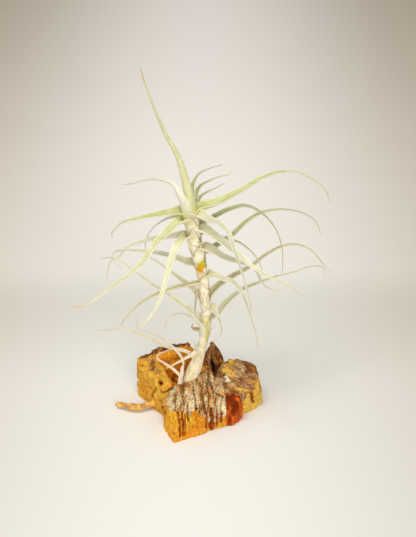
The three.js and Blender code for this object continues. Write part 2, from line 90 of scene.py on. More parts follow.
def mix(low: np.ndarray | float, high: np.ndarray | float, share: np.ndarray) -> np.ndarray:
    """From low at a share of 0 to high at a share of 1."""
    return low + (high - low) * share


def unit(vectors: np.ndarray) -> np.ndarray:
    """The same directions with length one."""
    return vectors / np.maximum(np.linalg.norm(vectors, axis=-1, keepdims=True), 1e-9)


def tossed(cells: np.ndarray, seed: int) -> np.ndarray:
    """A random number from -1 to 1 for each cell of whole numbers, the same each time."""
    stirred = sum(axis * prime for axis, prime in zip(cells.T, CELL_PRIMES))
    mixed = (stirred + seed * SEED_PRIME) & WORD
    mixed = ((mixed ^ (mixed >> 13)) * STIR_PRIME) & WORD
    return ((mixed ^ (mixed >> 16)) & HALF_WORD) / (HALF_WORD / 2) - 1


@dataclass(frozen=True)
class Noise:
    """Smooth noise in space: the distance over which it changes, its seed, and its layers."""

    pitch: float | Mark
    seed: int
    layers: int = 3

    @staticmethod
    def layer(points: np.ndarray, pitch: np.ndarray, seed: int) -> np.ndarray:
        """One layer's value from -1 to 1 at each point."""
        scaled = points / pitch + seed * SEED_SHIFT
        cell = np.floor(scaled).astype(np.int64)
        part = scaled - cell
        part = part * part * (3 - 2 * part)
        total = np.zeros(len(points))
        for corner in range(8):
            step = np.array([corner & 1, corner >> 1 & 1, corner >> 2 & 1])
            total += tossed(cell + step, seed) * np.prod(np.where(step, part, 1 - part), axis=1)
        return total

    def at(self, points: np.ndarray) -> np.ndarray:
        """The noise from -1 to 1 at each point, each layer finer and weaker than the one before."""
        pitches = np.asarray(self.pitch, float)
        fades = [LAYER_FADE**k for k in range(self.layers)]
        layers = (self.layer(points, pitches / 2**k, self.seed + k) for k in range(self.layers))
        return sum(layer * fade for layer, fade in zip(layers, fades)) / sum(fades)


def smooth_route(points: np.ndarray, step: float) -> np.ndarray:
    """A centripetal Catmull-Rom line through points, resampled evenly.

    Args:
        points: The points that the line passes through.
        step: Distance between the samples, in millimetres.

    Returns:
        The samples, from the first point to the last.
    """
    ends = np.vstack([2 * points[0] - points[1], points, 2 * points[-1] - points[-2]])
    t = np.linspace(0, 1, ROUTE_SAMPLES, endpoint=False)[:, None]
    dense = []
    for a, b, c, d in zip(ends, ends[1:], ends[2:], ends[3:]):
        gaps = [max(math.sqrt(np.linalg.norm(q - p)), 1e-4) for p, q in ((a, b), (b, c), (c, d))]
        first, middle, last = gaps
        leave = (b - a) / first - (c - a) / (first + middle) + (c - b) / middle
        arrive = (c - b) / middle - (d - b) / (middle + last) + (d - c) / last
        dense.append(curved(b, c, leave * middle, arrive * middle, t))
    line = np.vstack([*dense, points[-1:]])
    lengths = lengths_along(line)
    count = max(4, round(lengths[-1] / step) + 1)
    at = np.linspace(0, lengths[-1], count)
    return np.stack([np.interp(at, lengths, line[:, i]) for i in range(3)], axis=1)


def curved(
    start: np.ndarray, end: np.ndarray, leave: np.ndarray, arrive: np.ndarray, t: np.ndarray
) -> np.ndarray:
    """The cubic from start to end with those slopes, at shares t of the way."""
    curve = start + leave * t + (3 * (end - start) - 2 * leave - arrive) * t**2
    return curve + (2 * (start - end) + leave + arrive) * t**3


def lengths_along(line: np.ndarray) -> np.ndarray:
    """How far along a line each of its points lies."""
    return np.concatenate([[0], np.cumsum(np.linalg.norm(np.diff(line, axis=0), axis=1))])


def turning_normals(line: np.ndarray, start: np.ndarray) -> np.ndarray:
    """Normals that start at a direction and turn no more than the line makes them.

    Args:
        line: Points of the line.
        start: Direction that the first normal leans to.

    Returns:
        One normal for each point.
    """
    normals = np.empty_like(line)
    normal = np.asarray(start, float)
    for i, tangent in enumerate(unit(np.gradient(line, axis=0))):
        normal = normal - tangent * (normal @ tangent)
        normal /= max(np.linalg.norm(normal), 1e-9)
        normals[i] = normal
    return normals


@dataclass(frozen=True)
class Sighting:
    """The upright drawing that routes are given on, seen from a little above the horizon."""

    tilt: float = math.radians(25)
    distance: float = 900.0
    aim: Mark = (11.2, 0.0, 117.0)
    right: float = 11.2
    up: float = 100.4

    @property
    def back(self) -> np.ndarray:
        """Direction from the plant to the eye."""
        return np.array([0.0, -math.cos(self.tilt), math.sin(self.tilt)])

    @property
    def eye(self) -> np.ndarray:
        """Where the eye is."""
        return np.array(self.aim) + self.back * self.distance

    def place(self, marks: Sequence[Mark]) -> np.ndarray:
        """The points of the frame at (right, up, behind) on the drawing."""
        right, up, behind = np.asarray(marks, float).T
        rise = up - self.up
        marked = np.stack(
            [
                self.aim[0] + right - self.right,
                rise * math.sin(self.tilt),
                self.aim[2] + rise * math.cos(self.tilt),
            ],
            axis=1,
        )
        along = ((behind - self.eye[1]) / (marked[:, 1] - self.eye[1]))[:, None]
        return self.eye + along * (marked - self.eye)

    def drawn(self, points: np.ndarray) -> tuple[np.ndarray, np.ndarray]:
        """Where points of the frame stand on the drawing.

        Args:
            points: Points of the frame, one to a row.

        Returns:
            How far right and how far up each one is drawn.
        """
        rays = points - self.eye
        share = (self.distance / -(rays @ self.back))[:, None]
        from_aim = self.eye + rays * share - np.array(self.aim)
        upright = np.array([0.0, math.sin(self.tilt), math.cos(self.tilt)])
        return from_aim[:, 0] + self.right, from_aim @ upright + self.up


SIGHT = Sighting()


class Web:
    """A node tree being wired: nodes are added with their sockets fed by name or by number."""

    def __init__(self, tree: NodeTree) -> None:
        """Starts wiring in a tree."""
        self.tree = tree

    def add(self, kind: str, feeds: Mapping | None = None, **settings: object) -> Node:
        """Adds a node.

        Args:
            kind: The node's Blender type.
            feeds: What goes into its sockets, by name or number.
            settings: Its own properties.

        Returns:
            The node.
        """
        node = self.tree.nodes.new(kind)
        for name, value in settings.items():
            setattr(node, name, value)
        for key, value in (feeds or {}).items():
            self.feed(node, key, value)
        return node

    def feed(self, node: Node, key: str | int, value: object) -> None:
        """Links a socket to another node's output, or sets its value."""
        by_name = (s for s in node.inputs if s.name == key and s.enabled)
        socket = node.inputs[key] if isinstance(key, int) else next(by_name)
        if isinstance(value, Socket):
            self.tree.links.new(value, socket)
        else:
            socket.default_value = value

    def made(self, kind: str, feeds: Mapping | None = None, **settings: object) -> Socket:
        """The first output of a node that is added."""
        return self.add(kind, feeds, **settings).outputs[0]

    def math(self, operation: str, *values: object) -> Socket:
        """The result of a Math node."""
        return self.made("ShaderNodeMath", dict(enumerate(values)), operation=operation)

    def times(self, *values: object) -> Socket:
        """The product of two or more values."""
        first, *others = values
        for other in others:
            first = self.math("MULTIPLY", first, other)
        return first

    def vector(self, operation: str, *values: object) -> Socket:
        """The result of a Vector Math node."""
        keys = (0, 3) if operation == "SCALE" else range(len(values))
        return self.made("ShaderNodeVectorMath", dict(zip(keys, values)), operation=operation)

    def split(self, vector: Socket) -> Sequence[Socket]:
        """The three parts of a vector."""
        return self.add("ShaderNodeSeparateXYZ", {0: vector}).outputs

    def join(self, x: object, y: object, z: object) -> Socket:
        """A vector from its three parts."""
        return self.made("ShaderNodeCombineXYZ", {0: x, 1: y, 2: z})

    def ramp(self, value: object, low: object, high: object) -> Socket:
        """0 below low, 1 above high, smooth between."""
        feeds = {"Value": value, "From Min": low, "From Max": high}
        return self.made("ShaderNodeMapRange", feeds, interpolation_type="SMOOTHSTEP")

    def blend(self, share: object, low: object, high: object, how: str = "MIX") -> Socket:
        """One colour over another, by a share from 0 to 1."""
        feeds = {0: share, 6: low, 7: high}
        return self.add("ShaderNodeMix", feeds, data_type="RGBA", blend_type=how).outputs[2]

    def tint(self, colour: object, code: str, *masks: object, how: str = "MIX") -> Socket:
        """A colour with paint over it, as far as the product of some masks lets it through."""
        return self.blend(self.times(*masks), colour, paint(code), how)

    def attribute(self, name: str) -> Sequence[Socket]:
        """The three parts of a vector that the mesh carries."""
        return self.split(self.add("ShaderNodeAttribute", attribute_name=name).outputs["Vector"])

    def socket(self, name: str, kind: str, default: object = None, way: str = "INPUT") -> None:
        """Gives the tree a named input or output."""
        made = self.tree.interface.new_socket(name, in_out=way, socket_type=f"NodeSocket{kind}")
        if default is not None:
            made.default_value = default

    def store(self, geometry: object, name: str, value: object) -> Socket:
        """The geometry with a vector kept on its points under a name."""
        feeds = {"Geometry": geometry, "Name": name, "Value": value}
        kind = "GeometryNodeStoreNamedAttribute"
        return self.made(kind, feeds, data_type="FLOAT_VECTOR", domain="POINT")

    def stored(self, name: str) -> Socket:
        """A vector that the geometry carries under a name."""
        kind = "GeometryNodeInputNamedAttribute"
        return self.made(kind, {"Name": name}, data_type="FLOAT_VECTOR")


@dataclass(frozen=True)
class Mottle:
    """Cloudy patches: how many to the metre, and the noise where they start and are full."""

    scale: float
    low: float
    high: float


@dataclass(frozen=True)
class Streaks:
    """Fine lines: how many to a unit across the surface, and how many to a millimetre along it."""

    pitch: float
    stretch: float


@dataclass(frozen=True)
class Specks:
    """Small round specks: how many to the metre, and their size as a share of their distance."""

    scale: float
    size: float


@dataclass(frozen=True)
class Plates:
    """Broken bark: plates to a millimetre across and along it, and the width of the seams."""

    pitch: float
    stretch: float
    seam: float


class Effects:
    """Shader groups that several finishes use, each built once."""

    CLOUD_DETAIL, STREAK_DETAIL, BEND_DETAIL = 5.0, 3.0, 2.0
    STREAK_EDGES = (0.35, 0.65)
    BEND_SCALE, BEND_REACH = 1.7, (0.6, 0.6, 0.0)
    PLATE_SCATTER = 0.9

    def __init__(self) -> None:
        """Builds the groups."""
        self.mottle = self._mottle()
        self.streaks = self._streaks()
        self.specks = self._specks()
        self.plates = self._plates()

    @staticmethod
    def _begin(name: str, **inputs: float | None) -> tuple[Web, Sequence[Socket]]:
        """Starts a group with inputs, where None is a vector, and an output called Mask."""
        web = Web(bpy.data.node_groups.new(name, "ShaderNodeTree"))
        for label, default in inputs.items():
            web.socket(label, "Vector" if default is None else "Float", default)
        web.socket("Mask", "Float", way="OUTPUT")
        return web, web.add("NodeGroupInput").outputs[: len(inputs)]

    def _mottle(self) -> NodeTree:
        """Cloudy patches in space, from 0 to 1."""
        web, given = self._begin("mottle", Vector=None, Scale=100.0, Low=0.4, High=0.6)
        here, scale, low, high = given
        feeds = {"Vector": here, "Scale": scale, "Detail": self.CLOUD_DETAIL}
        noise = web.made("ShaderNodeTexNoise", feeds)
        web.add("NodeGroupOutput", {"Mask": web.ramp(noise, low, high)})
        return web.tree

    def _streaks(self) -> NodeTree:
        """Fine lines along a surface: close across it and long along it."""
        web, given = self._begin("streaks", Across=0.0, Along=0.0, Pitch=8.0, Stretch=0.1)
        across, along_it, pitch, stretch = given
        place = web.join(web.times(across, pitch), web.times(along_it, stretch), 0.0)
        feeds = {"Vector": place, "Scale": 1.0, "Detail": self.STREAK_DETAIL}
        noise = web.made("ShaderNodeTexNoise", feeds)
        web.add("NodeGroupOutput", {"Mask": web.ramp(noise, *self.STREAK_EDGES)})
        return web.tree

    def _specks(self) -> NodeTree:
        """Small round specks, such as leaf scales or the pores of cork."""
        web, (here, scale, size) = self._begin("specks", Vector=None, Scale=1500.0, Size=0.3)
        reach = web.made("ShaderNodeTexVoronoi", {"Vector": here, "Scale": scale})
        web.add("NodeGroupOutput", {"Mask": web.math("SUBTRACT", 1.0, web.ramp(reach, 0.0, size))})
        return web.tree

    def _plates(self) -> NodeTree:
        """Plates that bark breaks into: the seams between them, and each one's own tone."""
        sizes = {"Pitch": 0.4, "Stretch": 0.15, "Seam": 0.08}
        web, given = self._begin("plates", Across=0.0, Along=0.0, **sizes)
        web.socket("Tone", "Float", way="OUTPUT")
        across, along_it, pitch, stretch, width = given
        even = web.join(web.times(across, pitch), web.times(along_it, stretch), 0.0)
        feeds = {"Vector": even, "Scale": self.BEND_SCALE, "Detail": self.BEND_DETAIL}
        bent = web.add("ShaderNodeTexNoise", feeds)
        place = web.vector("MULTIPLY_ADD", bent.outputs["Color"], self.BEND_REACH, even)
        feeds = {"Vector": place, "Scale": 1.0, "Randomness": self.PLATE_SCATTER}
        edge = web.made("ShaderNodeTexVoronoi", feeds, feature="DISTANCE_TO_EDGE")
        seam = web.math("SUBTRACT", 1.0, web.ramp(edge, 0.0, width))
        tone = web.split(web.add("ShaderNodeTexVoronoi", feeds).outputs["Color"])[0]
        web.add("NodeGroupOutput", {"Mask": seam, "Tone": tone})
        return web.tree


class Finish:
    """What every finish shares: a material with one Principled shader and the shared effects."""

    effects: Effects

    @staticmethod
    def start(name: str, **fixed: object) -> tuple[Material, Web, Socket]:
        """Makes a material.

        Args:
            name: The material's name.
            fixed: Values of the shader's own sockets, with _ for a space.

        Returns:
            The material, its web and its object coordinates.
        """
        material = bpy.data.materials.new(name)
        material.use_nodes = True
        web = Web(material.node_tree)
        shader = material.node_tree.nodes["Principled BSDF"]
        for label, value in fixed.items():
            shader.inputs[label.replace("_", " ")].default_value = value
        return material, web, web.add("ShaderNodeTexCoord").outputs["Object"]

    @staticmethod
    def end(web: Web, colour: Socket, rough: Socket, height: Socket, depth: float) -> None:
        """Feeds the shader.

        Args:
            web: The material's web.
            colour: The base colour.
            rough: The roughness.
            height: What the surface is bumped by.
            depth: How deep a height of one goes, in metres.
        """
        bump = web.made("ShaderNodeBump", {"Height": height, "Strength": 1.0, "Distance": depth})
        shader = web.tree.nodes["Principled BSDF"]
        for label, value in (("Base Color", colour), ("Roughness", rough), ("Normal", bump)):
            web.feed(shader, label, value)

    def mottle(self, web: Web, here: Socket, size: Mottle) -> Socket:
        """Cloudy patches."""
        feeds = {"Vector": here, "Scale": size.scale, "Low": size.low, "High": size.high}
        return web.made("ShaderNodeGroup", feeds, node_tree=self.effects.mottle)

    def streaks(self, web: Web, across: Socket, along: Socket, size: Streaks) -> Socket:
        """Fine lines along the surface."""
        feeds = {"Across": across, "Along": along, "Pitch": size.pitch, "Stretch": size.stretch}
        return web.made("ShaderNodeGroup", feeds, node_tree=self.effects.streaks)

    def specks(self, web: Web, here: Socket, size: Specks) -> Socket:
        """Small round specks."""
        feeds = {"Vector": here, "Scale": size.scale, "Size": size.size}
        return web.made("ShaderNodeGroup", feeds, node_tree=self.effects.specks)

    def broken(self, web: Web, across: Socket, along: Socket, size: Plates) -> Sequence[Socket]:
        """The seams between plates of bark, and each plate's tone."""
        feeds = {"Across": across, "Along": along, "Pitch": size.pitch, "Stretch": size.stretch}
        feeds |= {"Seam": size.seam}
        return web.add("ShaderNodeGroup", feeds, node_tree=self.effects.plates).outputs

    @staticmethod
    def stained(web: Web, colour: Socket, *share: Socket) -> Socket:
        """A colour under the stains that the mesh carries, by a share of their strength."""
        for mask, stain in zip(web.attribute("stain"), STAINS):
            colour = web.tint(colour, stain, mask, *share)
        return colour


class LeafTone(Enum):
    """How grey or green a living leaf is, or that it is dead."""

    PALE = "pale"
    SILVER = "silver"
    CREAM = "cream"
    # Pale, with a bright foot that is painted light on bases lying in the shade of other leaves
    CHALK_LIT = "chalky"
    GREEN = "green"
    # Darker olive for leaves at the back: partly their colour, partly painted shade for the shade
    # they lie in
    OLIVE_SHADED = "olive"
    KHAKI = "khaki"
    STRAW = "straw"
    DRY = "dry"
    WITHERED = "withered"


@dataclass(frozen=True)
class LeafFinish(Finish):
    """A leaf's skin under its scales: both faces, the thin margins, the foot and the ripe tip."""

    tone: LeafTone
    upper: str
    under: str
    margin: str
    foot: str
    ripe: str
    tip: str
    scaly: float = 0.5
    roughness: float = 0.72
    sheath: str = "fdf4d8"
    # Colour of the painted shadow line along the sheath's margins
    edge_shadow: str = "a29562"
    hair: str = "f4f1e2"
    clouds: Mottle = Mottle(160.0, 0.35, 0.7)
    veins: Streaks = Streaks(9.0, 0.12)
    scales: Specks = Specks(1700.0, 0.42)
    cloudy: float = 0.3
    veined: float = 0.22
    strong: float = 0.6
    grown_out: float = 16.0
    ripened: float = 0.5
    raised_scales: float = 0.5
    rough_clouds: float = 0.12
    depth: float = 0.00012
    turned_up: Pair = (-0.25, 0.35)
    thin_rim: Pair = (0.72, 1.0)
    in_sheath: Pair = (2.0, -3.0)
    ripening: Pair = (0.35, 0.95)
    blushing: Pair = (0.84, 1.0)
    edge_shadow_rim: Pair = (0.8, 1.0)
    edge_shadow_end: Pair = (4.0, 0.0)
    stain_end: Pair = (5.0, 0.0)

    def material(self) -> Material:
        """Builds the leaf's material."""
        shine = {"Sheen_Weight": 0.12, "Sheen_Roughness": 0.5, "Specular_IOR_Level": 0.2}
        material, web, here = self.start(f"leaf_{self.tone.value}", **shine)
        reach, share, blush = web.attribute("along")
        across, facing, hair = web.attribute("across")
        aside = web.math("ABSOLUTE", across)
        cloud = self.mottle(web, here, self.clouds)
        veins = self.streaks(web, across, reach, self.veins)
        down = self.specks(web, here, self.scales)
        colour = web.tint(paint(self.under), self.upper, web.ramp(facing, *self.turned_up))
        colour = web.tint(colour, self.margin, web.ramp(aside, *self.thin_rim), self.strong)
        colour = web.tint(colour, self.margin, cloud, self.cloudy)
        colour = web.tint(colour, self.upper, veins, self.veined, how="MULTIPLY")
        colour = web.tint(colour, self.foot, web.ramp(reach, self.grown_out, 1.0), self.strong)
        colour = web.tint(colour, self.sheath, web.ramp(reach, *self.in_sheath))
        colour = web.tint(colour, self.ripe, web.ramp(share, *self.ripening), self.ripened)
        colour = web.tint(colour, self.tip, web.ramp(share, *self.blushing), blush)
        colour = web.tint(colour, self.margin, down, self.scaly)
        # Painted shadow: a dark line along the sheath's margins, fading out a little above its
        # mouth
        rim, end = web.ramp(aside, *self.edge_shadow_rim), web.ramp(reach, *self.edge_shadow_end)
        colour = web.tint(colour, self.edge_shadow, rim, self.strong, end)
        colour = web.tint(colour, self.hair, hair, self.strong)
        colour = self.stained(web, colour, web.ramp(reach, *self.stain_end))
        rough = web.math("MULTIPLY_ADD", cloud, self.rough_clouds, self.roughness)
        height = web.math("MULTIPLY_ADD", down, self.raised_scales, veins)
        self.end(web, colour, rough, height, self.depth)
        return material


@dataclass(frozen=True)
class SheathFinish(Finish):
    """The papery leaf sheaths that wrap the stem, with their stains."""

    name: str = "stem_sheaths"
    pale: str = "f6edcc"
    pink: str = "f5e0be"
    shade: str = "cfb880"
    # Colour of the painted shadow line at each sheath's edge
    edge_shadow: str = "a8925c"
    clouds: Mottle = Mottle(120.0, 0.35, 0.7)
    fibres: Streaks = Streaks(14.0, 0.15)
    fibrous: float = 0.3
    edge_shadowed: float = 0.6
    edge_shadow_from: float = 0.86
    roughness: float = 0.6
    rough_fibres: float = 0.15
    depth: float = 0.0002

    def material(self) -> Material:
        """Builds the material of the stem and the young shoot."""
        material, web, here = self.start(self.name, Sheen_Weight=0.08, Specular_IOR_Level=0.15)
        reach, _, _ = web.attribute("along")
        across, _, step = web.attribute("across")
        fibres = self.streaks(web, across, reach, self.fibres)
        colour = web.tint(paint(self.pale), self.pink, self.mottle(web, here, self.clouds))
        colour = web.tint(colour, self.shade, fibres, self.fibrous)
        # Painted shadow: a dark line along each sheath's edge, just before the step in the stem's
        # radius
        colour = web.tint(colour, self.edge_shadow, web.ramp(step, self.edge_shadow_from, 1.0), self.edge_shadowed)
        rough = web.math("MULTIPLY_ADD", fibres, self.rough_fibres, self.roughness)
        self.end(web, self.stained(web, colour), rough, fibres, self.depth)
        return material


@dataclass(frozen=True)
class TwigFinish(Finish):
    """Knobby yellow-brown bark of the side twig."""

    bright: str = "f6b920"
    dull: str = "b26a1c"
    pale: str = "fde6b4"
    broad: Mottle = Mottle(260.0, 0.38, 0.62)
    fine: Mottle = Mottle(900.0, 0.4, 0.7)
    flecked: float = 0.7
    roughness: float = 0.65
    rough_grain: float = 0.2
    depth: float = 0.0004

    def material(self) -> Material:
        """Builds the twig's material."""
        material, web, here = self.start("twig_bark", Specular_IOR_Level=0.3)
        broad, fine = (self.mottle(web, here, size) for size in (self.broad, self.fine))
        colour = web.tint(paint(self.dull), self.bright, broad)
        colour = web.tint(colour, self.pale, fine, self.flecked)
        rough = web.math("MULTIPLY_ADD", fine, self.rough_grain, self.roughness)
        self.end(web, colour, rough, web.math("ADD", broad, fine), self.depth)
        return material


@dataclass(frozen=True)
class CorkFinish(Finish):
    """Golden cork: ridged bark, orange inner walls, red-brown grooves, painted shade in pits and
    hollows.
    """

    gold: str = "ffc02c"
    amber: str = "ee8e04"
    straw: str = "ffe070"
    inner: str = "ffa22c"
    rust: str = "bf5f08"
    bark: str = "f8c47a"
    bark_pale: str = "ffedbc"
    bark_dark: str = "9a6238"
    seam: str = "521f0a"
    groove: str = "b4541a"
    groove_deep: str = "6e2c0c"
    knot: str = "e66c20"
    knot_deep: str = "983c12"
    # Near-black painted shade inside the holes
    pit: str = "25130a"
    chip: str = "fff4d2"
    broad: Mottle = Mottle(85.0, 0.38, 0.62)
    close: Mottle = Mottle(420.0, 0.38, 0.66)
    fine: Mottle = Mottle(720.0, 0.5, 0.6)
    fibres: Streaks = Streaks(1.3, 0.16)
    pores: Specks = Specks(520.0, 0.22)
    plates: Plates = Plates(0.36, 0.2, 0.08)
    depth: float = 0.0005
    high_ridges: float = 1.1
    high_streaks: float = 0.22
    high_plates: float = 0.7
    seams_open: float = 0.1
    seams_streaked: float = 0.4
    rusty_walls: float = 0.25
    golden_walls: float = 0.3
    knot_lobes: Pair = (-0.25, 0.35)
    knot_grains: float = 0.5
    dark_pores: float = 0.5
    shade_and_char_strength: float = 0.85
    roughness: float = 0.75
    rough_grain: float = 0.15
    smooth_knot: float = -0.3
    raised_close: float = 0.8
    raised_fine: float = 0.5
    straw_and_painted_light: float = 0.6
    straw_grains: float = 0.45
    rusty_grains: float = 0.32
    rusty_streaks: float = 0.12
    pale_height: Pair = (-0.1, 0.9)
    dark_height: Pair = (0.1, 1.2)
    dark_grains: float = 0.4
    all_grains: float = 0.42
    golden_crust: float = 0.3

    def material(self) -> Material:
        """Builds the cork's material."""
        material, web, here = self.start("virgin_cork", Specular_IOR_Level=0.05)
        bark, dark, inner = web.attribute("coat")
        red, knot, hollow = web.attribute("marks")
        pit, chip, light = web.attribute("spots")
        across, along, ridge = web.attribute("fibre")
        broad, close, fine = (
            self.mottle(web, here, size) for size in (self.broad, self.close, self.fine)
        )
        streaks = self.streaks(web, across, along, self.fibres)
        seams, tone = self.broken(web, across, along, self.plates)
        high = web.times(streaks, self.high_streaks)
        high = web.math("MULTIPLY_ADD", ridge, self.high_ridges, high)
        high = web.math("MULTIPLY_ADD", tone, self.high_plates, high)
        opened = web.math("MULTIPLY_ADD", streaks, self.seams_streaked, self.seams_open)
        cracked = web.times(seams, opened)
        wood = self.golden(web, (broad, close, fine, streaks), light)
        walls = web.tint(paint(self.inner), self.rust, close, self.rusty_walls)
        colour = web.blend(inner, wood, web.blend(self.golden_walls, walls, wood))
        crust = self.crust(web, dark, high, fine, light)
        colour = web.blend(bark, colour, web.tint(crust, self.seam, cracked))
        cut = web.tint(paint(self.groove_deep), self.groove, web.math("MAXIMUM", streaks, fine))
        colour = web.blend(red, colour, cut)
        lump = web.tint(paint(self.knot_deep), self.knot, web.ramp(ridge, *self.knot_lobes))
        lump = web.tint(lump, self.knot_deep, fine, self.knot_grains)
        colour = web.blend(knot, colour, lump)
        pores = self.specks(web, here, self.pores)
        colour = web.tint(colour, self.groove_deep, pores, self.dark_pores)
        # Painted shade in fissures, seams, pores, crumbs, cracks, between the knot's lobes and over
        # the shard, with the blackened rim
        colour = web.tint(colour, self.seam, hollow, self.shade_and_char_strength)
        # Near-black painted shade inside the pits, then the white flecks
        colour = web.tint(web.tint(colour, self.pit, pit), self.chip, chip)
        rough = web.math("MULTIPLY_ADD", close, self.rough_grain, self.roughness)
        rough = web.math("MULTIPLY_ADD", knot, self.smooth_knot, rough)
        height = web.math("MULTIPLY_ADD", fine, self.raised_fine, streaks)
        height = web.math("MULTIPLY_ADD", close, self.raised_close, height)
        self.end(web, colour, rough, height, self.depth)
        return material

    def golden(self, web: Web, grains: Sequence[Socket], light: Socket) -> Socket:
        """The colour of bare cork: gold with amber clouds, straw patches and painted light, and
        rusty grains.
        """
        broad, close, fine, streaks = grains
        gold = web.tint(paint(self.gold), self.amber, broad)
        # Straw where the bark clears, and painted light: the bare gold of the right chunk, and of
        # the left in part, lifted to straw
        gold = web.tint(gold, self.straw, light, self.straw_and_painted_light)
        gold = web.tint(gold, self.straw, close, self.straw_grains)
        gold = web.tint(gold, self.rust, fine, self.rusty_grains)
        return web.tint(gold, self.rust, streaks, self.rusty_streaks)

    def crust(self, web: Web, dark: Socket, high: Socket, fine: Socket, bare: Socket) -> Socket:
        """The colour of the bark: pale or dark, with gold showing through.

        Args:
            web: The material's web.
            dark: Where the bark is dark.
            high: How far a place stands out.
            fine: The finest grains.
            bare: Where gold shows through.

        Returns:
            The colour.
        """
        pale = web.tint(paint(self.bark), self.bark_pale, web.ramp(high, *self.pale_height))
        grey = web.tint(paint(self.bark_dark), self.bark, web.ramp(high, *self.dark_height))
        crust = web.blend(dark, pale, web.tint(grey, self.seam, fine, self.dark_grains))
        crust = web.tint(crust, self.seam, fine, self.all_grains)
        return web.tint(crust, self.amber, bare, self.golden_crust)


@dataclass(frozen=True)
class FloorFinish(Finish):
    """Matt warm-white paper with painted light and shade: a little darker near by, to the sides and
    in its fold.
    """

    paper: str = "e6e5df"
    far: str = "faf6f0"
    fold: str = "e3e1d9"
    side: str = "958255"
    shaded: float = 0.574
    far_off: Pair = (-0.28, 0.6)
    fold_rise: Pair = (0.02, 0.15)
    fold_fall: Pair = (0.26, 0.17)
    aside: float = 0.36

    def material(self) -> Material:
        """Builds the floor's material."""
        material, web, here = self.start("paper_floor", Roughness=0.9, Specular_IOR_Level=0.1)
        x, y, _ = web.split(here)
        # Painted light: the paper grows lighter far off
        colour = web.tint(paint(self.paper), self.far, web.ramp(y, *self.far_off))
        # Painted shade: a darker band where the paper would fold up into the backdrop
        rise, fall = web.ramp(y, *self.fold_rise), web.ramp(y, *self.fold_fall)
        colour = web.tint(colour, self.fold, rise, fall)
        # Painted shade: darker towards both sides, as the lamps fall off
        sides = web.ramp(web.math("ABSOLUTE", x), 0.0, self.aside)
        colour = web.tint(colour, self.side, sides, self.shaded, how="MULTIPLY")
        web.feed(web.tree.nodes["Principled BSDF"], "Base Color", colour)
        return material


@dataclass(frozen=True)
class Bend:
    """Sockets of a closed tube and of the route that it is bent along.

    The tube gives each point's place across it, its lift, and its share of the length. The
    route gives, at that share, its point and direction, the ways inward and sideways, and what
    it carries.
    """

    tube: Socket
    across: Socket
    lift: Socket
    middle: Socket
    tangent: Socket
    inward: Socket
    side: Socket
    section: Sequence[Socket]
    note: Socket


